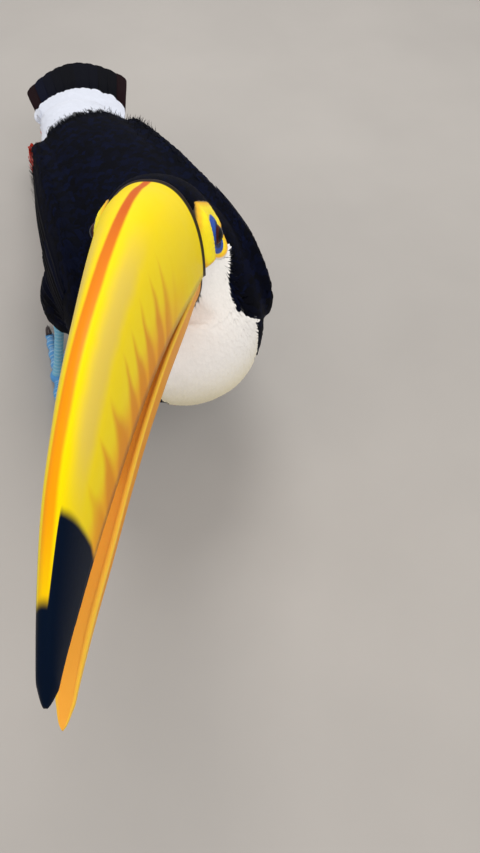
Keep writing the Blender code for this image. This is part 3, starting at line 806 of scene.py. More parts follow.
def scaled_limb(name, path, radii, colour, sides=20):
    """A leg part with a row of overlapping scales along its upper side."""
    legs = bpy.context.scene.toucan_legs
    path = np.asarray(path)
    run = np.concatenate(([0], np.cumsum(np.linalg.norm(np.diff(path, axis=0), axis=1))))
    phase = (run / legs.scute) % 1.0
    turn = math.tau * np.arange(sides) / sides
    upper = step(-0.35, 0.25, np.sin(turn))[None]
    from_seam = np.minimum(phase, 1 - phase)[:, None]
    saw = (0.5 - phase)[:, None] * 0.10 - 0.11 * bell(from_seam, 0, 0.11)
    beads = 0.035 * np.cos(turn * 5)[None] * np.cos(run * math.tau / TOE_BEAD)[:, None] * (1 - upper)
    mesh = sweep(name, path, np.asarray(radii)[:, None] * (1 + saw * upper + beads), sides)
    seam = bell(from_seam, 0, 0.13) * (0.35 + 0.65 * upper)
    shade = blend(np.asarray(colour), np.array(legs.seam), (0.75 * seam).reshape(-1, 1))
    put_values(mesh, "Marking", shade, "FLOAT_COLOR")
    return add_piece(name, mesh)


def leg_pieces(side, sign):
    legs = bpy.context.scene.toucan_legs
    hub = hub_place(side, sign)
    ankle = ORIGIN * (1, 1, 0) + (sign * ANKLE[side][0], *ANKLE[side][1:])
    sole = hub + (0, 0, HUB_HEIGHT)
    steps = np.linspace(-0.06, 1.12, 96)
    stations, radii = np.array(SHANK_RADII).T
    path = sole + (ankle - sole) * steps[:, None]
    made = [scaled_limb("shank_scales_" + side, path, np.interp(steps, stations, radii),
                        legs.turquoise)]
    for name, (_, length, root, tip, joints) in TOES.items():
        t = np.linspace(0, 1, int(length / TOE_RING))
        radius = blend(root, tip, t) * (1 + 0.13 * np.cos(math.tau * t * joints))
        end = np.sqrt(np.clip((1.02 - t) / 0.05, 0.05, 1.0))
        path = hub + toe_way(side, sign, name) * (0.0005 + length * t)[:, None]
        path[:, 2] = np.maximum(TOE_HEIGHT, radius * 0.96)
        made.append(scaled_limb("toe_" + side + "_" + name, path, radius * end, legs.blue))
    hub_ball = ball("hub_" + side, hub + (0, 0, TOE_HEIGHT + 0.0012), HUB_RADIUS, 40, 24,
                    (1.0, 1.1, 0.85))
    blue = np.tile(np.array(legs.blue), (len(hub_ball.data.vertices), 1))
    put_values(hub_ball.data, "Marking", blue, "FLOAT_COLOR")
    made.append(hub_ball)
    for piece in made[1:]:
        points = mesh_points(piece.data)
        points[:, 2] = np.maximum(points[:, 2], 0.0)
        move_points(piece.data, points)
    return made


def skin_finish():
    """Bare skin and scales: thin, dry, finely wrinkled, with the markings from its points."""
    made, node = finish_named("bare_skin")
    place = node("TexCoord", output="Object")
    marking = node("Attribute", attribute_name="Marking")
    blotch = node("MapRange", node("TexNoise", place, 420.0, 3.0), To_Min=0.90, To_Max=1.06)
    wrinkles = node("Math", node("TexVoronoi", place, 1500.0), node("TexNoise", place, 900.0, 4.0),
                    operation="ADD")
    return complete(made, (wrinkles, 0.35, 0.00018),
                    Base_Color=node("VectorMath", marking, blotch, operation="MULTIPLY"),
                    Roughness=0.46, Subsurface_Weight=0.12,
                    Subsurface_Radius=(0.0010, 0.0006, 0.0004))


class TOUCAN_OT_skin(bpy.types.Operator):
    """Makes the one skin under the plumage, with the bare face and the scaly legs"""
    bl_idname = "toucan.skin"
    bl_label = "Skin"

    def execute(self, context):
        form = merged_form("skin_form", FLESH + WINGS, 0.0020, 8)
        mesh = form.data
        points, normals = mesh_points(mesh), mesh_normals(mesh)
        colours = skin_colours(points)
        points = points - normals * sink(points)[:, None]
        move_points(mesh, points)
        mesh.update()
        put_values(mesh, "Marking", colours, "FLOAT_COLOR")
        mesh.shade_smooth()
        pieces = [form]
        for side, sign in SIDES:
            pieces.append(eye_patch(side, sign))
            pieces.extend(leg_pieces(side, sign))
        skin = join("skin", pieces)
        skin.data.materials.clear()
        skin.data.materials.append(skin_finish())
        settle(skin, "foot_scales", *FLESH, *LEGS)
        return {"FINISHED"}


# ---- Bill -------------------------------------------------------------------------------

def arch(half_width, base, crown, count, power=BILL_ROUNDNESS):
    """Across and up along an arch from the left edge over to the right."""
    turn = np.linspace(0, math.pi, count)
    c, s = np.cos(turn), np.sin(turn)
    across = half_width * np.sign(c) * np.abs(c) ** (2 / power)
    return across, base + (crown - base) * np.abs(s) ** (2 / power)


def drop_jaw(points):
    """Points of the lower half, swung down about the hinge of the gape."""
    moved = points.copy()
    forward, up = points[..., 0] - GAPE_HINGE[0], points[..., 2] - GAPE_HINGE[1]
    c, s = math.cos(GAPE), math.sin(GAPE)
    moved[..., 0] = GAPE_HINGE[0] + forward * c + up * s
    moved[..., 2] = GAPE_HINGE[1] - forward * s + up * c
    return moved


def rim_lean(up):
    """How much further back the rim of the upper bill lies, the higher up it is."""
    return 0.0032 * np.clip((up - 0.008) / 0.026, 0, 1) ** 1.5


def bill_half(name, lower):
    """One half of the bill: a thin horn arch, its cutting edges and its hollow inner side."""
    face, tip = BILL_STATIONS[0][0], BILL_STATIONS[-1][0]
    end = tip - LOWER_SHORTER if lower else tip
    outer, inner, wall = 57, 25, 0.0016
    steps = 1 - (1 - np.linspace(0, 1, 190)) ** 1.3
    stations = face - BILL_TUCK + (end - face + BILL_TUCK) * steps
    rings, along, girth = [], [], []
    for at in stations:
        roof, edge, keel, half = smooth_row(BILL_STATIONS, max(at, face))
        if lower:
            left_over = min(1.0, max(end - at, 0.0) / LOWER_BLUNTING)
            blunt = max(math.sqrt(left_over), 0.14)
            roof = edge - (edge - keel) * (0.3 + 0.7 * blunt)
            narrow = LOWER_NARROWER - 0.11 * float(step(0.150, 0.190, at))
            half, edge = half * narrow * blunt, edge - 0.0003
        tuck = float(step(face - 0.0030, face - BILL_TUCK, at))
        half, roof = half * (1 - 0.10 * tuck), roof - 0.10 * tuck * (roof - edge)
        rim = 0.0008 * bell(at, face + 0.0004, 0.0018)
        half = half + rim
        if lower:
            half = max(half, 0.0025 * blunt)
        else:
            point = math.sqrt(min(1.0, (end - at + 0.00015) / 0.0038))
            half, roof = half * point, edge + (roof - edge) * (0.25 + 0.75 * point)
        across, up = arch(half, edge, roof + math.copysign(rim, roof - edge), outer)
        notch = 0.00022 * ((at / GROWTH_LINE) % 1.0) * float(step(0.030, 0.060, at)
                                                        * step(end - 0.004, end - 0.020, at))
        up[[0, -1]] -= math.copysign(notch, roof - edge)
        thin = min(wall, half * 0.35)
        open_part = float(step(end, end - 0.030, at))
        hollow = edge + (roof - edge) * (0.04 + (0.08 if lower else 0.20) * open_part)
        in_across, in_up = arch(half - thin, edge + (roof - edge) * 0.02, hollow, inner, 2.0)
        ring = np.stack((np.full(outer + inner, at), np.concatenate((across, in_across[::-1])),
                         np.concatenate((up, in_up[::-1]))), axis=1)
        if not lower:
            ring[:, 0] -= rim_lean(ring[:, 2]) * step(0.010, -0.002, at)
        rings.append(ring)
        run = np.concatenate(([0], np.cumsum(np.hypot(np.diff(across), np.diff(up)))))
        along.append(np.full(outer + inner, at))
        girth.append(np.concatenate((run, np.full(inner, -1.0))))
    rings, along, girth = np.array(rings), np.array(along), np.array(girth)
    total = girth[:, outer - 1:outer]
    inside = girth < 0
    from_edge = np.where(inside, 0.0, np.minimum(girth, total - girth))
    aside = girth - total / 2 - 0.0011 * step(0.060, 0.170, along)
    from_ridge = np.where(inside, 0.05, np.abs(aside))
    if lower:
        rings = drop_jaw(rings)
    share = from_ridge / np.maximum(total / 2, 1e-6)
    strip = np.where(aside < 0, 0.0034, 0.0075)
    front = (0.1722 - 0.0050 * np.clip((share - 0.155) / 0.70, 0, 1)
             + 0.0160 * step(strip, strip * 0.5, from_ridge))
    mesh = lofted(name, from_head(rings))
    for title, values in (("Along", along), ("Edge", from_edge), ("Ridge", from_ridge),
                          ("Inside", inside), ("Spot", along - front)):
        put_values(mesh, title, values)
    return mesh


def uneven(node, value, cloud, amount):
    """A value made uneven by the cloudy growth of the horn."""
    return node("Math", cloud, amount, value, operation="MULTIPLY_ADD")


def finish_horn(made, node, place, colour):
    """Thin polished horn: smooth and glossy, with growth lines along it and faint dents."""
    stretch = node("Mapping", place, Rotation=(0.0, HEAD_LIFT, -HEAD_TURN), Scale=(1.0, 0.12, 1.0))
    dents = node("TexNoise", place, 130.0, 2.0)
    relief = node("Math", node("TexNoise", stretch, 900.0, 3.0), dents, operation="ADD")
    return complete(made, (relief, 0.25, 0.00012), Base_Color=colour,
                    Roughness=node("MapRange", dents, To_Min=0.40, To_Max=0.52),
                    Specular_IOR_Level=0.16, Specular_Tint=(1.0, 0.82, 0.35), Coat_Weight=0.035,
                    Coat_Roughness=0.22, Subsurface_Weight=0.10,
                    Subsurface_Radius=(0.0014, 0.0008, 0.0003))


def upper_horn_finish():
    """Keratin of the upper bill: yellow, with an orange ridge, amber streaks, a dark tip, and pale
    bands beside the ridge that are partly a painted reflection of the sky.
    """
    head = bpy.context.scene.toucan_head
    face = BILL_STATIONS[0][0]
    made, node = finish_named("upper_bill_horn")
    along, edge, ridge, spot, inside = (
        node("Attribute", attribute_name=name, output="Fac")
        for name in ("Along", "Edge", "Ridge", "Spot", "Inside"))
    place = node("TexCoord", output="Object")
    cloud = node("TexNoise", place, 75.0, 3.0)
    # Pale bands on both sides of the ridge, halfway along the bill: partly a paler horn, partly a
    # painted soft reflection of the sky
    off = node("Math", node("Math", ridge, 0.0095, operation="SUBTRACT"), operation="ABSOLUTE")
    pale_sky_reflection = product(node, 0.75,
                   node("MapRange", uneven(node, off, cloud, 0.003), 0.0085, 0.0030, **SMOOTH),
                   node("MapRange", along, 0.050, 0.100, **SMOOTH),
                   node("MapRange", along, 0.175, 0.150, **SMOOTH))
    # Amber low on the sides, deeper away from the base
    height = node("MapRange", along, 0.02, 0.165, 0.027, 0.014)
    risen = node("Math", edge, height, operation="DIVIDE")
    amber = product(node, node("MapRange", along, 0.030, 0.085, 0.05, 0.9),
                    node("MapRange", uneven(node, risen, cloud, 0.25), 1.10, 0.35, **SMOOTH))
    # Flames: each is wide low on the side and runs up to a point
    bend = node("Math", risen, 0.001, along, operation="MULTIPLY_ADD")
    drift = node("Math", node("TexNoise", place, 28.0, 2.0), 0.018, bend, operation="MULTIPLY_ADD")
    phase = node("Math", drift, head.flame_spacing, operation="DIVIDE")
    room = node("MapRange", uneven(node, risen, cloud, 0.35), 0.20, 1.60, 0.52, 0.0)
    flame = node("Math", node("Math", phase, 0.5, operation="PINGPONG"), room, operation="ADD")
    streak = product(node, 0.85, node("MapRange", flame, 0.38, 0.74, **SMOOTH),
                     node("MapRange", along, 0.046, 0.074, **SMOOTH),
                     node("MapRange", along, 0.170, 0.150, **SMOOTH),
                     node("MapRange", risen, 1.60, 1.15, **SMOOTH))
    # The stripe along the ridge, narrower at the base
    half = head.ridge_half_width
    width = node("MapRange", along, 0.0, 0.07, 0.66, 0.76)
    scaled = uneven(node, node("Math", ridge, width, operation="DIVIDE"), cloud, 0.0006)
    stripe = product(node, node("MapRange", scaled, half * 1.5, half * 0.8, **SMOOTH),
                     node("MapRange", along, 0.200, 0.170, **SMOOTH))
    hue = layered(node, head.orange, (head.ridge_tip, node("MapRange", along, 0.05, 0.17)))
    # The dark spot at the tip, the dark line at the base, and the inside
    dark = node("MapRange", uneven(node, spot, cloud, 0.0016), -0.0006, 0.0020, **SMOOTH)
    band = node("MapRange", uneven(node, along, cloud, 0.0008), face + 0.0044, face + 0.0036,
                **SMOOTH)
    lined = product(node, 0.85, inside, node("Math", 1.0, dark, operation="SUBTRACT"))
    colour = layered(node, head.yellow, (head.pale_sky_reflection, pale_sky_reflection), (head.amber, amber),
                     (head.streak, streak), (hue, stripe), (head.spot, dark), (head.band, band),
                     (head.lining, lined))
    finish_horn(made, node, place, colour)
    dull = node("MapRange", dark, To_Min=0.16, To_Max=0.03)
    return complete(made, Specular_IOR_Level=dull)


def lower_horn_finish():
    """Keratin of the lower bill: deep orange with a yellow cutting edge and a dark base."""
    head = bpy.context.scene.toucan_head
    face = BILL_STATIONS[0][0]
    made, node = finish_named("lower_bill_horn")
    along, edge, inside = (node("Attribute", attribute_name=name, output="Fac")
                           for name in ("Along", "Edge", "Inside"))
    place = node("TexCoord", output="Object")
    cloud = node("TexNoise", place, 75.0, 3.0)
    rim = node("MapRange", uneven(node, edge, cloud, 0.0006), 0.0030, 0.0012, **SMOOTH)
    front = product(node, 0.8, node("MapRange", along, 0.158, 0.188, **SMOOTH))
    band = node("MapRange", uneven(node, along, cloud, 0.0006), face + 0.0028, face + 0.0020,
                **SMOOTH)
    colour = layered(node, head.lower, (head.amber, cloud), (head.lower_edge, rim),
                     (head.lower_edge, front), (head.band, band),
                     (head.lining, product(node, 0.9, inside)))
    return finish_horn(made, node, place, colour)


class TOUCAN_OT_bill(bpy.types.Operator):
    """Makes both halves of the bill in polished horn"""
    bl_idname = "toucan.bill"
    bl_label = "Bill"

    def execute(self, context):
        for name, node, finish, lower in (
                ("upper_bill", "bill_upper", upper_horn_finish(), False),
                ("lower_bill", "bill_lower", lower_horn_finish(), True)):
            piece = add_piece(name, bill_half(name, lower), finish)
            settle(piece, "lower_bill_horn" if lower else "bill_horn", node)
        return {"FINISHED"}


def dry_finish(name, colour, roughness, scale):
    """A plain organic surface with fine grain: tongue skin or claw horn."""
    made, node = finish_named(name)
    grain = node("TexNoise", node("TexCoord", output="Object"), scale, 4.0)
    tone = stops(node("ValToRGB", grain), (0.25, [c * 0.6 for c in colour]),
                 (0.75, [min(1, c * 1.5) for c in colour]))
    return complete(made, (grain, 0.3, 0.0001), Base_Color=tone, Roughness=roughness)


class TOUCAN_OT_tongue(bpy.types.Operator):
    """Makes the long narrow tongue, frayed like a feather at its sides"""
    bl_idname = "toucan.tongue"
    bl_label = "Tongue"

    def execute(self, context):
        root, end, sides = 0.024, 0.130, 16
        rows = []
        for at in np.linspace(root, end, 120):
            t = (at - root) / (end - root)
            edge = smooth_row(BILL_STATIONS, at)[1]
            half = blend(0.0055, 0.0016, t)
            fray = 1 - 0.16 * ((at / 0.0022) % 1.0) * step(0.3, 0.6, t)
            tip = math.sqrt(max(1 - max(t - 0.94, 0) / 0.0605, 0.02))
            turn = math.tau * np.arange(sides) / sides
            across = half * fray * tip * np.cos(turn)
            up = edge + 0.0009 + 0.0006 * tip * np.sin(turn) - 0.0004 * bell(across, 0, 0.0009)
            rows.append(np.stack((np.full(sides, at), across, up), axis=1))
        mesh = lofted("tongue_blade", from_head(drop_jaw(np.array(rows))))
        piece = add_piece("tongue_blade", mesh,
                          dry_finish("tongue_skin", context.scene.toucan_head.tongue, 0.5, 700.0))
        settle(piece, "tongue_skin", "tongue")
        return {"FINISHED"}


# ---- Eyes and claws ---------------------------------------------------------------------

def eye_finish():
    """A moist eye: dark pupil, thin dark red-brown iris, under a clear glossy front."""
    brown, black = bpy.context.scene.toucan_head.iris, (0.002, 0.002, 0.003)
    made, node = finish_named("moist_eye")
    off = node("Attribute", attribute_name="Off", output="Fac")
    tone = stops(node("ValToRGB", off), (0.0, black), (0.38, black), (0.43, brown),
                 (0.62, [c * 0.8 for c in brown]), (0.72, (0.006, 0.004, 0.006)))
    fibre = node("TexNoise", node("TexCoord", output="Object"), 1400.0, 3.0)
    colour = node("Mix", fibre, tone, (0.35, 0.3, 0.3), data_type="RGBA", blend_type="MULTIPLY")
    return complete(made, Base_Color=colour, Roughness=0.08, Specular_IOR_Level=0.1,
                    Coat_Weight=0.25, Coat_Roughness=0.02)


class TOUCAN_OT_eyes(bpy.types.Operator):
    """Makes both eyes, set in the lids"""
    bl_idname = "toucan.eyes"
    bl_label = "Eyes"

    def execute(self, context):
        finish = eye_finish()
        for side, sign in SIDES:
            centre = eye_centre(side)
            piece = ball("eyeball_" + side, centre, EYE_RADIUS, 72, 48)
            points = mesh_points(piece.data)
            outward = unit(HEAD_AXES @ np.array((0.16, sign, 0.02)))
            ways = unit(points - centre)
            off = np.arccos(np.clip(ways @ outward, -1, 1))
            move_points(piece.data, points + ways * EYE_BULGE * bell(off, 0, 0.62)[:, None])
            put_values(piece.data, "Off", off)
            piece.data.materials.append(finish)
            settle(piece, "eye", "eye_" + side)
        return {"FINISHED"}


class TOUCAN_OT_claws(bpy.types.Operator):
    """Makes the eight curved claws"""
    bl_idname = "toucan.claws"
    bl_label = "Claws"

    def execute(self, context):
        finish = dry_finish("claw_horn", context.scene.toucan_legs.claw, 0.34, 500.0)
        for side, sign in SIDES:
            for name, (_, length, *_) in TOES.items():
                way = toe_way(side, sign, name)
                t = np.linspace(0, 1, 26)
                root = TOE_HEIGHT + 0.0008
                rise = CLAW_RISE * np.sin(math.pi * np.minimum(1, t * 1.25))
                fall = (root - 0.0009) * t ** 2.2
                run = length - 0.0018 + (CLAW_LENGTH + 0.0020) * t
                path = hub_place(side, sign) + way * run[:, None]
                path[:, 2] = root + (rise - fall)
                radii = CLAW_RADIUS * (1 - t[:, None]) ** 0.8 + 0.00022
                title = "claw_horn_" + side + "_" + name
                mesh = sweep(title, path, radii, 18, flat=1.12, first=way)
                piece = add_piece(title, mesh, finish)
                settle(piece, "claw_horn", "claw_" + side + "_" + name)
        return {"FINISHED"}


# ---- Feathers ---------------------------------------------------------------------------

# Cross sections: across in half widths, height in camber, height in shaft radii, lean of the
# normal to the side; the upper side comes first
TUFT_SECTION = np.array(((-1.0, -1.0, 0.0, 0.0), (0.0, 0.0, 0.0, 0.0), (1.0, -1.0, 0.0, 0.0)))
QUILL_SECTION = np.array(((-1.0, -1.0, 0.0, 0.0), (-0.5, -0.25, 0.0, 0.0), (-0.07, 0.0, 0.2, -0.7),
                          (0.0, 0.0, 1.0, 0.0), (0.07, 0.0, 0.2, 0.7), (0.5, -0.25, 0.0, 0.0),
                          (1.0, -1.0, 0.0, 0.0), (0.0, 0.0, -1.0, 0.0)))
UPPER_FACES = {3: 2, 8: 6}      # faces of the upper side, by the points of the section
TUFT_STEPS = np.array((0.0, 0.28, 0.56, 0.80, 0.94, 1.0))
# Shortest that a black and a white feather beside the edge of the bib are kept, as shares
BORDER_SHARES = (0.45, 0.75)
# How far up the folded wing the flank's feathers still cover its lower edge, as a share
FLANK_OVERLAP = 0.12


def leaf(t, widest, tip):
    """Half width along a feather as a share: narrow root, broad middle, round tip."""
    root = 0.32 + 0.68 * step(0.0, widest, t)
    end = np.sqrt(np.clip(1 - ((t - widest) / (1 - widest)) ** 2, 0, 1))
    return np.where(t < widest, root, np.maximum(end, tip))


def lance(t, fine):
    """A silky tuft: widest near its root, drawn out to a fine tip."""
    return (0.45 + 0.55 * step(0.0, 0.30, t)) * np.maximum(1 - t, 0.0) ** fine + 0.03


def broad(t):
    return leaf(t, 0.62, 0.12)


def satin(t):
    return leaf(t, 0.50, 0.10)


def silky(t):
    return lance(t, 0.55)


def walk(starts, normals, ways, lengths, steps, yaw):
    """Paths over the guide surface that follow the lie of the plumage."""
    points = np.empty((len(starts), len(steps), 3))
    outs = np.empty_like(points)
    points[:, 0], outs[:, 0] = starts, normals
    spot, normal = starts, normals
    for k in range(1, len(steps)):
        way = lie(spot, normal) if ways is None else ways
        way = unit(way - normal * (way * normal).sum(1, keepdims=True))
        side = np.cross(way, normal)
        way = way * np.cos(yaw)[:, None] + side * np.sin(yaw)[:, None]
        reach = (lengths * (steps[k] - steps[k - 1]))[:, None]
        spot, normal = guide().drop(spot + way * reach)
        points[:, k], outs[:, k] = spot, normal
    return points, outs


def vanes(points, outs, half_widths, lifts, section, camber, shaft, evenness):
    """Sections of feathers along paths and their normals: (feathers, rings, section points, 3).

    evenness is how far the light falls on a feather as on the smooth body under it.
    """
    along = unit(np.gradient(points + outs * lifts[..., None], axis=1))
    side = unit(np.cross(along, outs))
    up = np.cross(side, along)
    centre = points + outs * lifts[..., None]
    wide = half_widths[..., None] * section[:, 0]
    high = camber * half_widths[..., None] * section[:, 1] + shaft * section[:, 2]
    side, up = side[:, :, None], up[:, :, None]
    rings = centre[:, :, None] + side * wide[..., None] + up * high[..., None]
    lean = (2 * camber * section[:, 0] + section[:, 3])[:, None]
    return rings, unit(blend(unit(up + side * lean), outs[:, :, None], evenness))


def unwrap(points, axis):
    """Places on an unwrap of the form about an upright or a lengthwise axis."""
    local = points - ORIGIN
    if axis == "upright":
        angle = np.arctan2(local[:, 0], -(local[:, 1] + 0.030))
        level = (local[:, 2] - 0.030) / 0.180
    else:
        angle = np.arctan2(local[:, 0], local[:, 2] - 0.098)
        level = (local[:, 1] + 0.125) / 0.345
    return np.stack((0.5 + 0.48 * angle / math.pi, np.clip(level, 0.01, 0.98)), axis=1)


def feather_piece(name, shape, steps, section, colours, roots, axis, kind):
    """Joins all feathers of a piece in one mesh, with tints, both maps and even normals."""
    rings, normals = shape
    count, length, sides = rings.shape[:3]
    quads, ends = loft_faces(length, sides)
    base = (np.arange(count) * length * sides)[:, None, None]
    groups = [(quads[None] + base).reshape(-1, 4), (ends[None] + base).reshape(-1, sides)]
    mesh = mesh_from(name, rings.reshape(-1, 3), groups)
    put_values(mesh, "Tint", np.repeat(colours, length * sides, axis=0), "FLOAT_COLOR")
    across = section[:, 0] * 0.5 + 0.5
    place = np.stack(np.broadcast_arrays(across[None, :], steps[:, None]), axis=-1)
    spread = np.broadcast_to(place, (count, length, sides, 2))
    origin = unwrap(roots, axis)[:, None, None]
    put_map(mesh, "OFBake", (origin + (spread - 0.5) * PATCH).reshape(-1, 2))
    put_map(mesh, "Vane", spread.reshape(-1, 2))
    piece = add_piece(name, mesh, plumage_finish(kind))
    corners = np.empty(len(mesh.loops), dtype=np.int32)
    mesh.loops.foreach_get("vertex_index", corners)
    facing = normals.reshape(-1, 3)[corners]
    under = np.tile(np.repeat(np.arange(sides) >= UPPER_FACES[sides], 4), count * (length - 1))
    facing[:len(under)][under] *= -1
    mesh.normals_split_custom_set(facing)
    return piece


# Barbs along a feather, and the constants of its finish
PLUMAGE = {
    "black": (26.0, dict(Roughness=0.66, Specular_IOR_Level=0.03, Specular_Tint=(0.45, 0.60, 1.0))),
    "white": (18.0, dict(Roughness=0.75, Specular_IOR_Level=0.20, Sheen_Weight=0.25,
                         Sheen_Roughness=0.5)),
}


@cache
def plumage_finish(kind):
    """Feather keratin: fine barbs slant off the shaft; black vanes carry a faint blue gloss."""
    barbs, constants = PLUMAGE[kind]
    made, node = finish_named(kind + "_feathers")
    across = node("SeparateXYZ", node("UVMap", uv_map="Vane"))
    off = node("Math", node("Math", across, 0.5, operation="SUBTRACT"), operation="ABSOLUTE")
    slant = node("Math", off, -0.35, across.node.outputs["Y"], operation="MULTIPLY_ADD")
    turn = node("Math", slant, barbs * math.tau, operation="MULTIPLY")
    wave = node("Math", turn, operation="SINE")
    tint = node("Attribute", attribute_name="Tint")
    tone = node("MapRange", wave, -1.0, 1.0, 0.965, 1.0)
    return complete(made, (wave, 0.12, 0.00008),
                    Base_Color=node("VectorMath", tint, tone, operation="MULTIPLY"), **constants)


def coat_piece(name, starts, normals, settings, rng, kind, colours=None, ways=None):
    """One piece of the coat: a feather at each start, lying along the body."""
    length, width, shape, axis, lift, camber, evenness = settings
    look = bpy.context.scene.toucan_plumage
    count = len(starts)
    nape = step(-0.045, -0.072, to_head(starts)[:, 0]) * (length < look.mantle_length / 2)
    lengths = length * (0.85 + 0.30 * rng.random(count)) * (1 + nape)
    on_top = (to_tail(starts)[:, 1] > COVERTS_FROM) & (normals[:, 2] > 0.3)
    short = np.minimum(lengths, np.maximum(covert_room(starts), 0.012))
    lengths = np.where(on_top, short, lengths)
    yaw = rng.normal(0.0, 0.07, count)
    points, outs = walk(starts, normals, ways, lengths, TUFT_STEPS, yaw)
    inside = markings(points.reshape(-1, 3))["bib"].reshape(count, -1) > 0
    kept = np.cumprod(inside == inside[:, :1], axis=1).sum(1) - 1
    room = np.maximum(TUFT_STEPS[kept], np.array(BORDER_SHARES)[inside[:, 0].astype(int)])
    points, outs = walk(starts, normals, ways, lengths * room, TUFT_STEPS, yaw)
    lengths *= room
    near = step(0.0065, 0.0015, np.abs(markings(starts)["bib"]))
    widths = width * (0.85 + 0.30 * rng.random(count)) * (1 + nape) * (1 - 0.45 * near)
    halves = widths[:, None] * shape(TUFT_STEPS)[None]
    deep = np.minimum(sink(starts), ROOT_SLOPE * lengths)
    deep = np.where(on_top, np.minimum(deep, 0.0006), deep)
    rise = (rng.random(count) ** 3 * lift)[:, None] * TUFT_STEPS[None] ** 2
    lifts = -deep[:, None] * (1 - TUFT_STEPS[None] ** 0.8) - 0.0002 + rise
    made = vanes(points, outs, halves, lifts, TUFT_SECTION, camber, 0.0, evenness)
    if colours is None:
        colours = plumage_colour(starts, look, rng)
    settle(feather_piece(name, made, TUFT_STEPS, TUFT_SECTION, colours, starts, axis, kind),
           kind + "_plumage")


def is_white(points):
    marks = markings(points)
    return (marks["bib"] > 0) | (marks["rump"] > 0)


def on_tail(points):
    """Behind the end of the rump, where only tail feathers are."""
    return (points - ORIGIN)[:, 1] > TAIL_ONLY


def coat_regions(look):
    """Name, kind, where it grows, spacing and look of one feather of each region."""
    def low(points):
        return (points - ORIGIN)[:, 2] < HEAD_ABOVE

    def head_part(points):
        forward, left, _ = to_head(points).T
        return (forward > -0.072) & ~low(points) & (np.abs(left) < 0.040)

    def bare(points):
        marks = markings(points)
        return (marks["face"] > 0.0006) | (ring_distance(points) < 0.0098)

    def bill_side(points):
        forward, left, up = to_head(points).T
        face, _, edge, _, half = BILL_STATIONS[0]
        below = np.maximum(edge - up, 0) / np.maximum(0.0232 + 0.09 * forward, 0.01)
        within = (np.abs(left) / half) ** BILL_ROUNDNESS + below ** BILL_ROUNDNESS < 1
        return (forward > face - rim_lean(up) - 0.0008) & within

    def bib(points):
        return (markings(points)["bib"] > 0) & ~bare(points) & ~bill_side(points)

    def bib_left(points, normals):
        return bib(points) & low(points) & (points[:, 0] > ORIGIN[0])

    def bib_right(points, normals):
        return bib(points) & low(points) & (points[:, 0] <= ORIGIN[0])

    def cheek(points, normals):
        return bib(points) & ~low(points)

    def crown(points, normals):
        return head_part(points) & ~is_white(points) & ~bare(points) & ~bill_side(points)

    def plain(points):
        beside_wing = ~on_wing(points) | (wing_place(points)[1] < FLANK_OVERLAP)
        return (~head_part(points) & ~bill_side(points) & ~is_white(points) & ~on_tail(points)
                & (markings(points)["vent"] <= 0) & beside_wing)

    def back(points, normals):
        return plain(points) & (normals[:, 2] > 0.15)

    def belly(points, normals):
        return plain(points) & (normals[:, 2] <= 0.15)

    def rump(points, normals):
        return (markings(points)["rump"] > 0) & (to_tail(points)[:, 1] < 0.050)

    def tail_covert(points, normals):
        room = covert_room(points) > 0.022
        return room & (to_tail(points)[:, 1] > COVERTS_FROM) & (normals[:, 2] > 0.35)

    def vent(points, normals):
        marks = markings(points)
        return (marks["vent"] > 0) & (marks["rump"] <= 0) & ~on_tail(points)

    silk = (look.bib_length, 0.0011, satin, "upright", 0.00012, 0.06, 0.85)
    body = (look.mantle_length, 0.0030, broad, "lengthwise", 0.0003, 0.07, 0.6)
    return (
        ("bib_coat_left", "white", bib_left, look.bib_spacing, silk),
        ("bib_coat_right", "white", bib_right, look.bib_spacing, silk),
        ("cheek_coat", "white", cheek, look.cheek_spacing,
         (0.0044, 0.00075, satin, "upright", 0.00010, 0.06, 0.85)),
        ("crown_coat", "black", crown, look.crown_spacing,
         (look.crown_length, 0.0014, satin, "upright", 0.00015, 0.08, 0.7)),
        ("back_coat", "black", back, look.mantle_spacing, body),
        ("belly_coat", "black", belly, look.mantle_spacing, body),
        ("rump_coat", "white", rump, 0.0022,
         (0.020, 0.0030, broad, "lengthwise", 0.0002, 0.05, 0.8)),
        ("covert_coat", "white", tail_covert, 0.0027,
         (0.030, 0.0040, broad, "lengthwise", 0.0002, 0.05, 0.8)),
        ("vent_coat", "white", vent, 0.0026,
         (0.019, 0.0022, silky, "lengthwise", 0.0016, 0.10, 0.5)),
    )


# Hair-like tufts that stand out: name, kind, middle, spread, way, count, length, width, lift
LOOSE_TUFTS = (
    ("back_wisps", "black", (0.031, 0.086, 0.120), (0.008, 0.014, 0.006), (0.55, 1.0, 0.10), 260,
     0.016, 0.00028, 0.0045),
    ("rump_fringe", "black", (0.000, 0.094, 0.127), (0.022, 0.004, 0.003), (0.0, 1.0, -0.25), 620,
     0.017, 0.00032, 0.0012),
    ("flank_wisps", "black", (-0.044, 0.072, 0.104), (0.004, 0.010, 0.008), (-0.35, 1.0, 0.0), 240,
     0.012, 0.00025, 0.0030),
    ("red_tuft", "white", (-0.037, 0.101, 0.095), (0.003, 0.007, 0.004), (-0.45, 1.0, 0.0), 320,
     0.015, 0.0026, 0.0052),
)


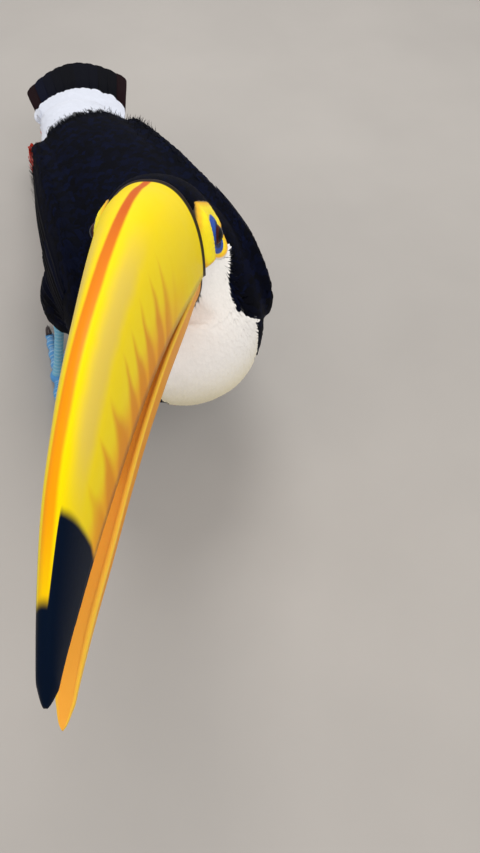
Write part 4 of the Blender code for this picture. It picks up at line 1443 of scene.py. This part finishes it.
class TOUCAN_OT_coat(bpy.types.Operator):
    """Grows the small feathers of head, bib, back, belly, rump and vent"""
    bl_idname = "toucan.coat"
    bl_label = "Coat"

    def execute(self, context):
        look = context.scene.toucan_plumage
        rng = np.random.default_rng(7)
        for name, kind, where, spacing, settings in coat_regions(look):
            starts, normals = guide().scatter(where, spacing, rng)
            if len(starts) == 0:
                raise RuntimeError("no feather grows on " + name)
            coat_piece(name, starts, normals, settings, rng, kind)
        for name, kind, middle, spread, way, count, length, width, lift in LOOSE_TUFTS:
            around = ORIGIN + middle + rng.normal(0.0, 1.0, (count, 3)) * spread
            starts, normals = guide().drop(around)
            settings = (length, width, silky, "lengthwise", lift, 0.15, 0.3)
            colour = look.black if kind == "black" else look.red
            tint = np.array(colour) * (0.6 + 0.6 * rng.random((count, 1)))
            coat_piece(name, starts, normals, settings, rng, kind, tint, np.array(way))
        return {"FINISHED"}


# ---- Wings and tail ---------------------------------------------------------------------

def wing_point(along, up, sign):
    """Surface point and normal at a place on the folded wing."""
    y = blend(WING_EDGES[0][0], WING_EDGES[-1][0], along)
    return guide().from_side(ORIGIN[1] + y, ORIGIN[2] + blend(*wing_edges(y), up), sign)


def wing_quill(start, end, sign, half_width, lift, steps):
    """One long feather between two places on the wing: path, normals, half widths, lifts."""
    ways = np.outer(1 - steps, start) + np.outer(steps, end)
    places = [wing_point(along, up, sign) for along, up in ways]
    points, outs = (np.array(part) for part in zip(*places))
    for _ in range(2):
        points[1:-1] = (points[:-2] + 2 * points[1:-1] + points[2:]) / 4
        outs[1:-1] = unit(outs[:-2] + 2 * outs[1:-1] + outs[2:])
    return points, outs, half_width * leaf(steps, 0.72, 0.10), lift + 0.0003 * steps


def quill_rows():
    """Long feathers of one wing, lowest layer first: start, end, half width, lift, rings."""
    rows = []
    for i in range(8):          # primaries, along the lower edge to the tip of the wing
        t = i / 7
        end = (1.0 - 0.20 * (1 - t) ** 1.3 - 0.03 * t, 0.06 + 0.52 * t)
        rows.append(((0.42 - 0.05 * t, 0.10 + 0.22 * t), end, 0.0062, -0.0022 + 0.00012 * i, 26))
    for i in range(9):          # secondaries, stacked upwards, the innermost on top
        t = i / 8
        end = (0.80 + 0.08 * math.sin(math.pi * t * 0.8), 0.30 + 0.49 * t)
        rows.append(((0.38 - 0.04 * t, 0.30 + 0.51 * t), end, 0.0074, -0.0014 + 0.00012 * i, 24))
    for i in range(12):         # greater coverts
        t = i / 11
        up = 0.10 + 0.72 * t
        end = (0.47 + 0.03 * math.cos(3 * t), up)
        rows.append(((0.20, up), end, 0.0062, -0.0004 + 0.00004 * i, 16))
    return rows


def quill(name, path, steps, root, tint, make):
    """One long feather with a shaft; make is camber, shaft radius and evenness."""
    made = vanes(*(part[None] for part in path), QUILL_SECTION, *make)
    return feather_piece(name, made, steps, QUILL_SECTION, tint, path[0][root:root + 1],
                         "lengthwise", "black")


class TOUCAN_OT_wings(bpy.types.Operator):
    """Lays the quills and coverts of both folded wings"""
    bl_idname = "toucan.wings"
    bl_label = "Wings"

    def execute(self, context):
        look = context.scene.toucan_plumage
        rng = np.random.default_rng(11)
        for side, sign in SIDES:
            pieces = []
            for number, (start, end, half, lift, count) in enumerate(quill_rows()):
                steps = np.linspace(0, 1, count)
                path = wing_quill(start, end, sign, half, lift, steps)
                pieces.append(quill("quill_%s_%02d" % (side, number), path, steps, 0,
                                    sheen(look, rng), (0.12, 0.00022, 0.4)))
            settle(join("wing_quills_" + side, pieces), "black_plumage", "wing_" + side)

            def shoulder(points, normals, sign=sign):
                front = wing_place(points)[0] < 0.34
                return on_wing(points) & front & ((points[:, 0] - ORIGIN[0]) * sign > 0)

            starts, normals = guide().scatter(shoulder, 0.0023, rng)
            settings = (0.0110, 0.0028, broad, "lengthwise", 0.0003, 0.07, 0.6)
            coat_piece("wing_coverts_" + side, starts, normals, settings, rng, "black")
        return {"FINISHED"}


class TOUCAN_OT_tail(bpy.types.Operator):
    """Lays the ten tail feathers, the middle pair on top"""
    bl_idname = "toucan.tail"
    bl_label = "Tail"

    def execute(self, context):
        look = context.scene.toucan_plumage
        rng = np.random.default_rng(5)
        steps = np.linspace(0, 1, 40)
        spread = blend(*TAIL_HALF_WIDTHS, steps ** 0.8)
        pieces = []
        for i in range(TAIL_FEATHERS):
            across = (2 * i + 1) / TAIL_FEATHERS - 1
            out = abs(across)
            back = (TAIL_LENGTH - TAIL_ROUNDING * out ** 2.6) * steps
            z = 0.0002 - TAIL_ARCH * across ** 2 - 0.00275 * out
            z = z - 0.0030 * step(0.112, 0.070, back) - 0.0035 * step(0.060, 0.040, back)
            points = from_tail(np.stack((across * 0.92 * spread, back, z), axis=1))
            lean = np.array((2 * TAIL_ARCH * across / TAIL_HALF_WIDTHS[1], 0.0, 1.0))
            outs = np.tile(unit(TAIL_AXES @ lean), (len(steps), 1))
            halves = 0.0074 * (0.75 + 0.30 * steps) * leaf(steps, 0.95, 0.45)
            tint = sheen(look, rng)
            if out > 0.8:
                tint = np.array([look.maroon])
            pieces.append(quill("tail_feather_%02d" % i, (points, outs, halves, 0 * steps), steps,
                                20, tint, (0.07, 0.00032, 0.3)))
        settle(join("tail_feathers", pieces), "black_plumage", "tail")
        return {"FINISHED"}


# ---- Stage ------------------------------------------------------------------------------

def look_along(holder, place, way):
    """Links a lamp or a camera to the scene, at a place and facing along a way."""
    bpy.context.scene.collection.objects.link(holder)
    holder.location = Vector(place)
    holder.rotation_euler = Vector(way).to_track_quat("-Z", "Y").to_euler()


class TOUCAN_OT_stage(bpy.types.Operator):
    """Sets the plain floor, the soft lights and the camera"""
    bl_idname = "toucan.stage"
    bl_label = "Stage"

    def execute(self, context):
        stage = context.scene.toucan_stage
        bpy.ops.object.select_all(action="DESELECT")
        bpy.ops.mesh.primitive_plane_add(size=6.0, location=(0.0, 0.0, 0.0))
        floor = context.object
        floor.name = floor.data.name = "floor"
        made, node = finish_named("plain_floor")
        grain = node("TexNoise", node("TexCoord", output="Object"), 9.0, 6.0)
        tone = stops(node("ValToRGB", grain), (0.35, [c * 0.95 for c in stage.floor]),
                     (0.65, stage.floor))
        complete(made, Base_Color=tone, Roughness=0.85)
        floor.data.materials.append(made)
        middle = ORIGIN + (0.0, 0.0, 0.12)
        for name, offset, size, strength, glossy in LAMPS:
            data = bpy.data.lights.new(name, "AREA")
            data.shape = "DISK"
            data.size = size
            data.energy = stage.key * strength
            lamp = bpy.data.objects.new(name, data)
            lamp.visible_glossy = glossy
            look_along(lamp, middle + offset, -np.array(offset))
        world = bpy.data.worlds.new("soft_room")
        world.use_nodes = True
        back = world.node_tree.nodes["Background"]
        back.inputs[0].default_value = (0.96, 0.97, 1.0, 1.0)
        back.inputs[1].default_value = 0.55
        context.scene.world = world
        context.scene.view_settings.view_transform = "Standard"
        lens = bpy.data.cameras.new("camera")
        lens.lens = stage.lens
        camera = bpy.data.objects.new("camera", lens)
        level = math.cos(CAMERA_TILT)
        way = (math.sin(CAMERA_TURN) * level, math.cos(CAMERA_TURN) * level, -math.sin(CAMERA_TILT))
        look_along(camera, ORIGIN + CAMERA_AT, way)
        context.scene.camera = camera
        return {"FINISHED"}


# ---- Add-on -----------------------------------------------------------------------------

OPERATORS = (TOUCAN_OT_stage, TOUCAN_OT_skin, TOUCAN_OT_bill, TOUCAN_OT_tongue, TOUCAN_OT_eyes,
             TOUCAN_OT_claws, TOUCAN_OT_coat, TOUCAN_OT_wings, TOUCAN_OT_tail)
GROUPS = {"toucan_plumage": ToucanPlumage, "toucan_head": ToucanHead, "toucan_legs": ToucanLegs,
          "toucan_stage": ToucanStage}


class TOUCAN_PT_panel(bpy.types.Panel):
    """Lists the operators and the settings of the toucan"""
    bl_idname = "TOUCAN_PT_panel"
    bl_label = "Toucan"
    bl_space_type = "VIEW_3D"
    bl_region_type = "UI"
    bl_category = "Toucan"

    def draw(self, context):
        for operator in OPERATORS:
            self.layout.operator(operator.bl_idname)
        for name, group in GROUPS.items():
            box = self.layout.box()
            for setting in group.__annotations__:
                box.prop(getattr(context.scene, name), setting)


def register():
    for item in (*GROUPS.values(), *OPERATORS, TOUCAN_PT_panel):
        bpy.utils.register_class(item)
    for name, group in GROUPS.items():
        setattr(bpy.types.Scene, name, bpy.props.PointerProperty(type=group))


def unregister():
    for name in GROUPS:
        delattr(bpy.types.Scene, name)
    for item in (TOUCAN_PT_panel, *reversed(OPERATORS), *reversed(GROUPS.values())):
        bpy.utils.unregister_class(item)


def main():
    register()
    for operator in OPERATORS:
        group, name = operator.bl_idname.split(".")
        getattr(getattr(bpy.ops, group), name)()


if __name__ == "__main__":
    main()
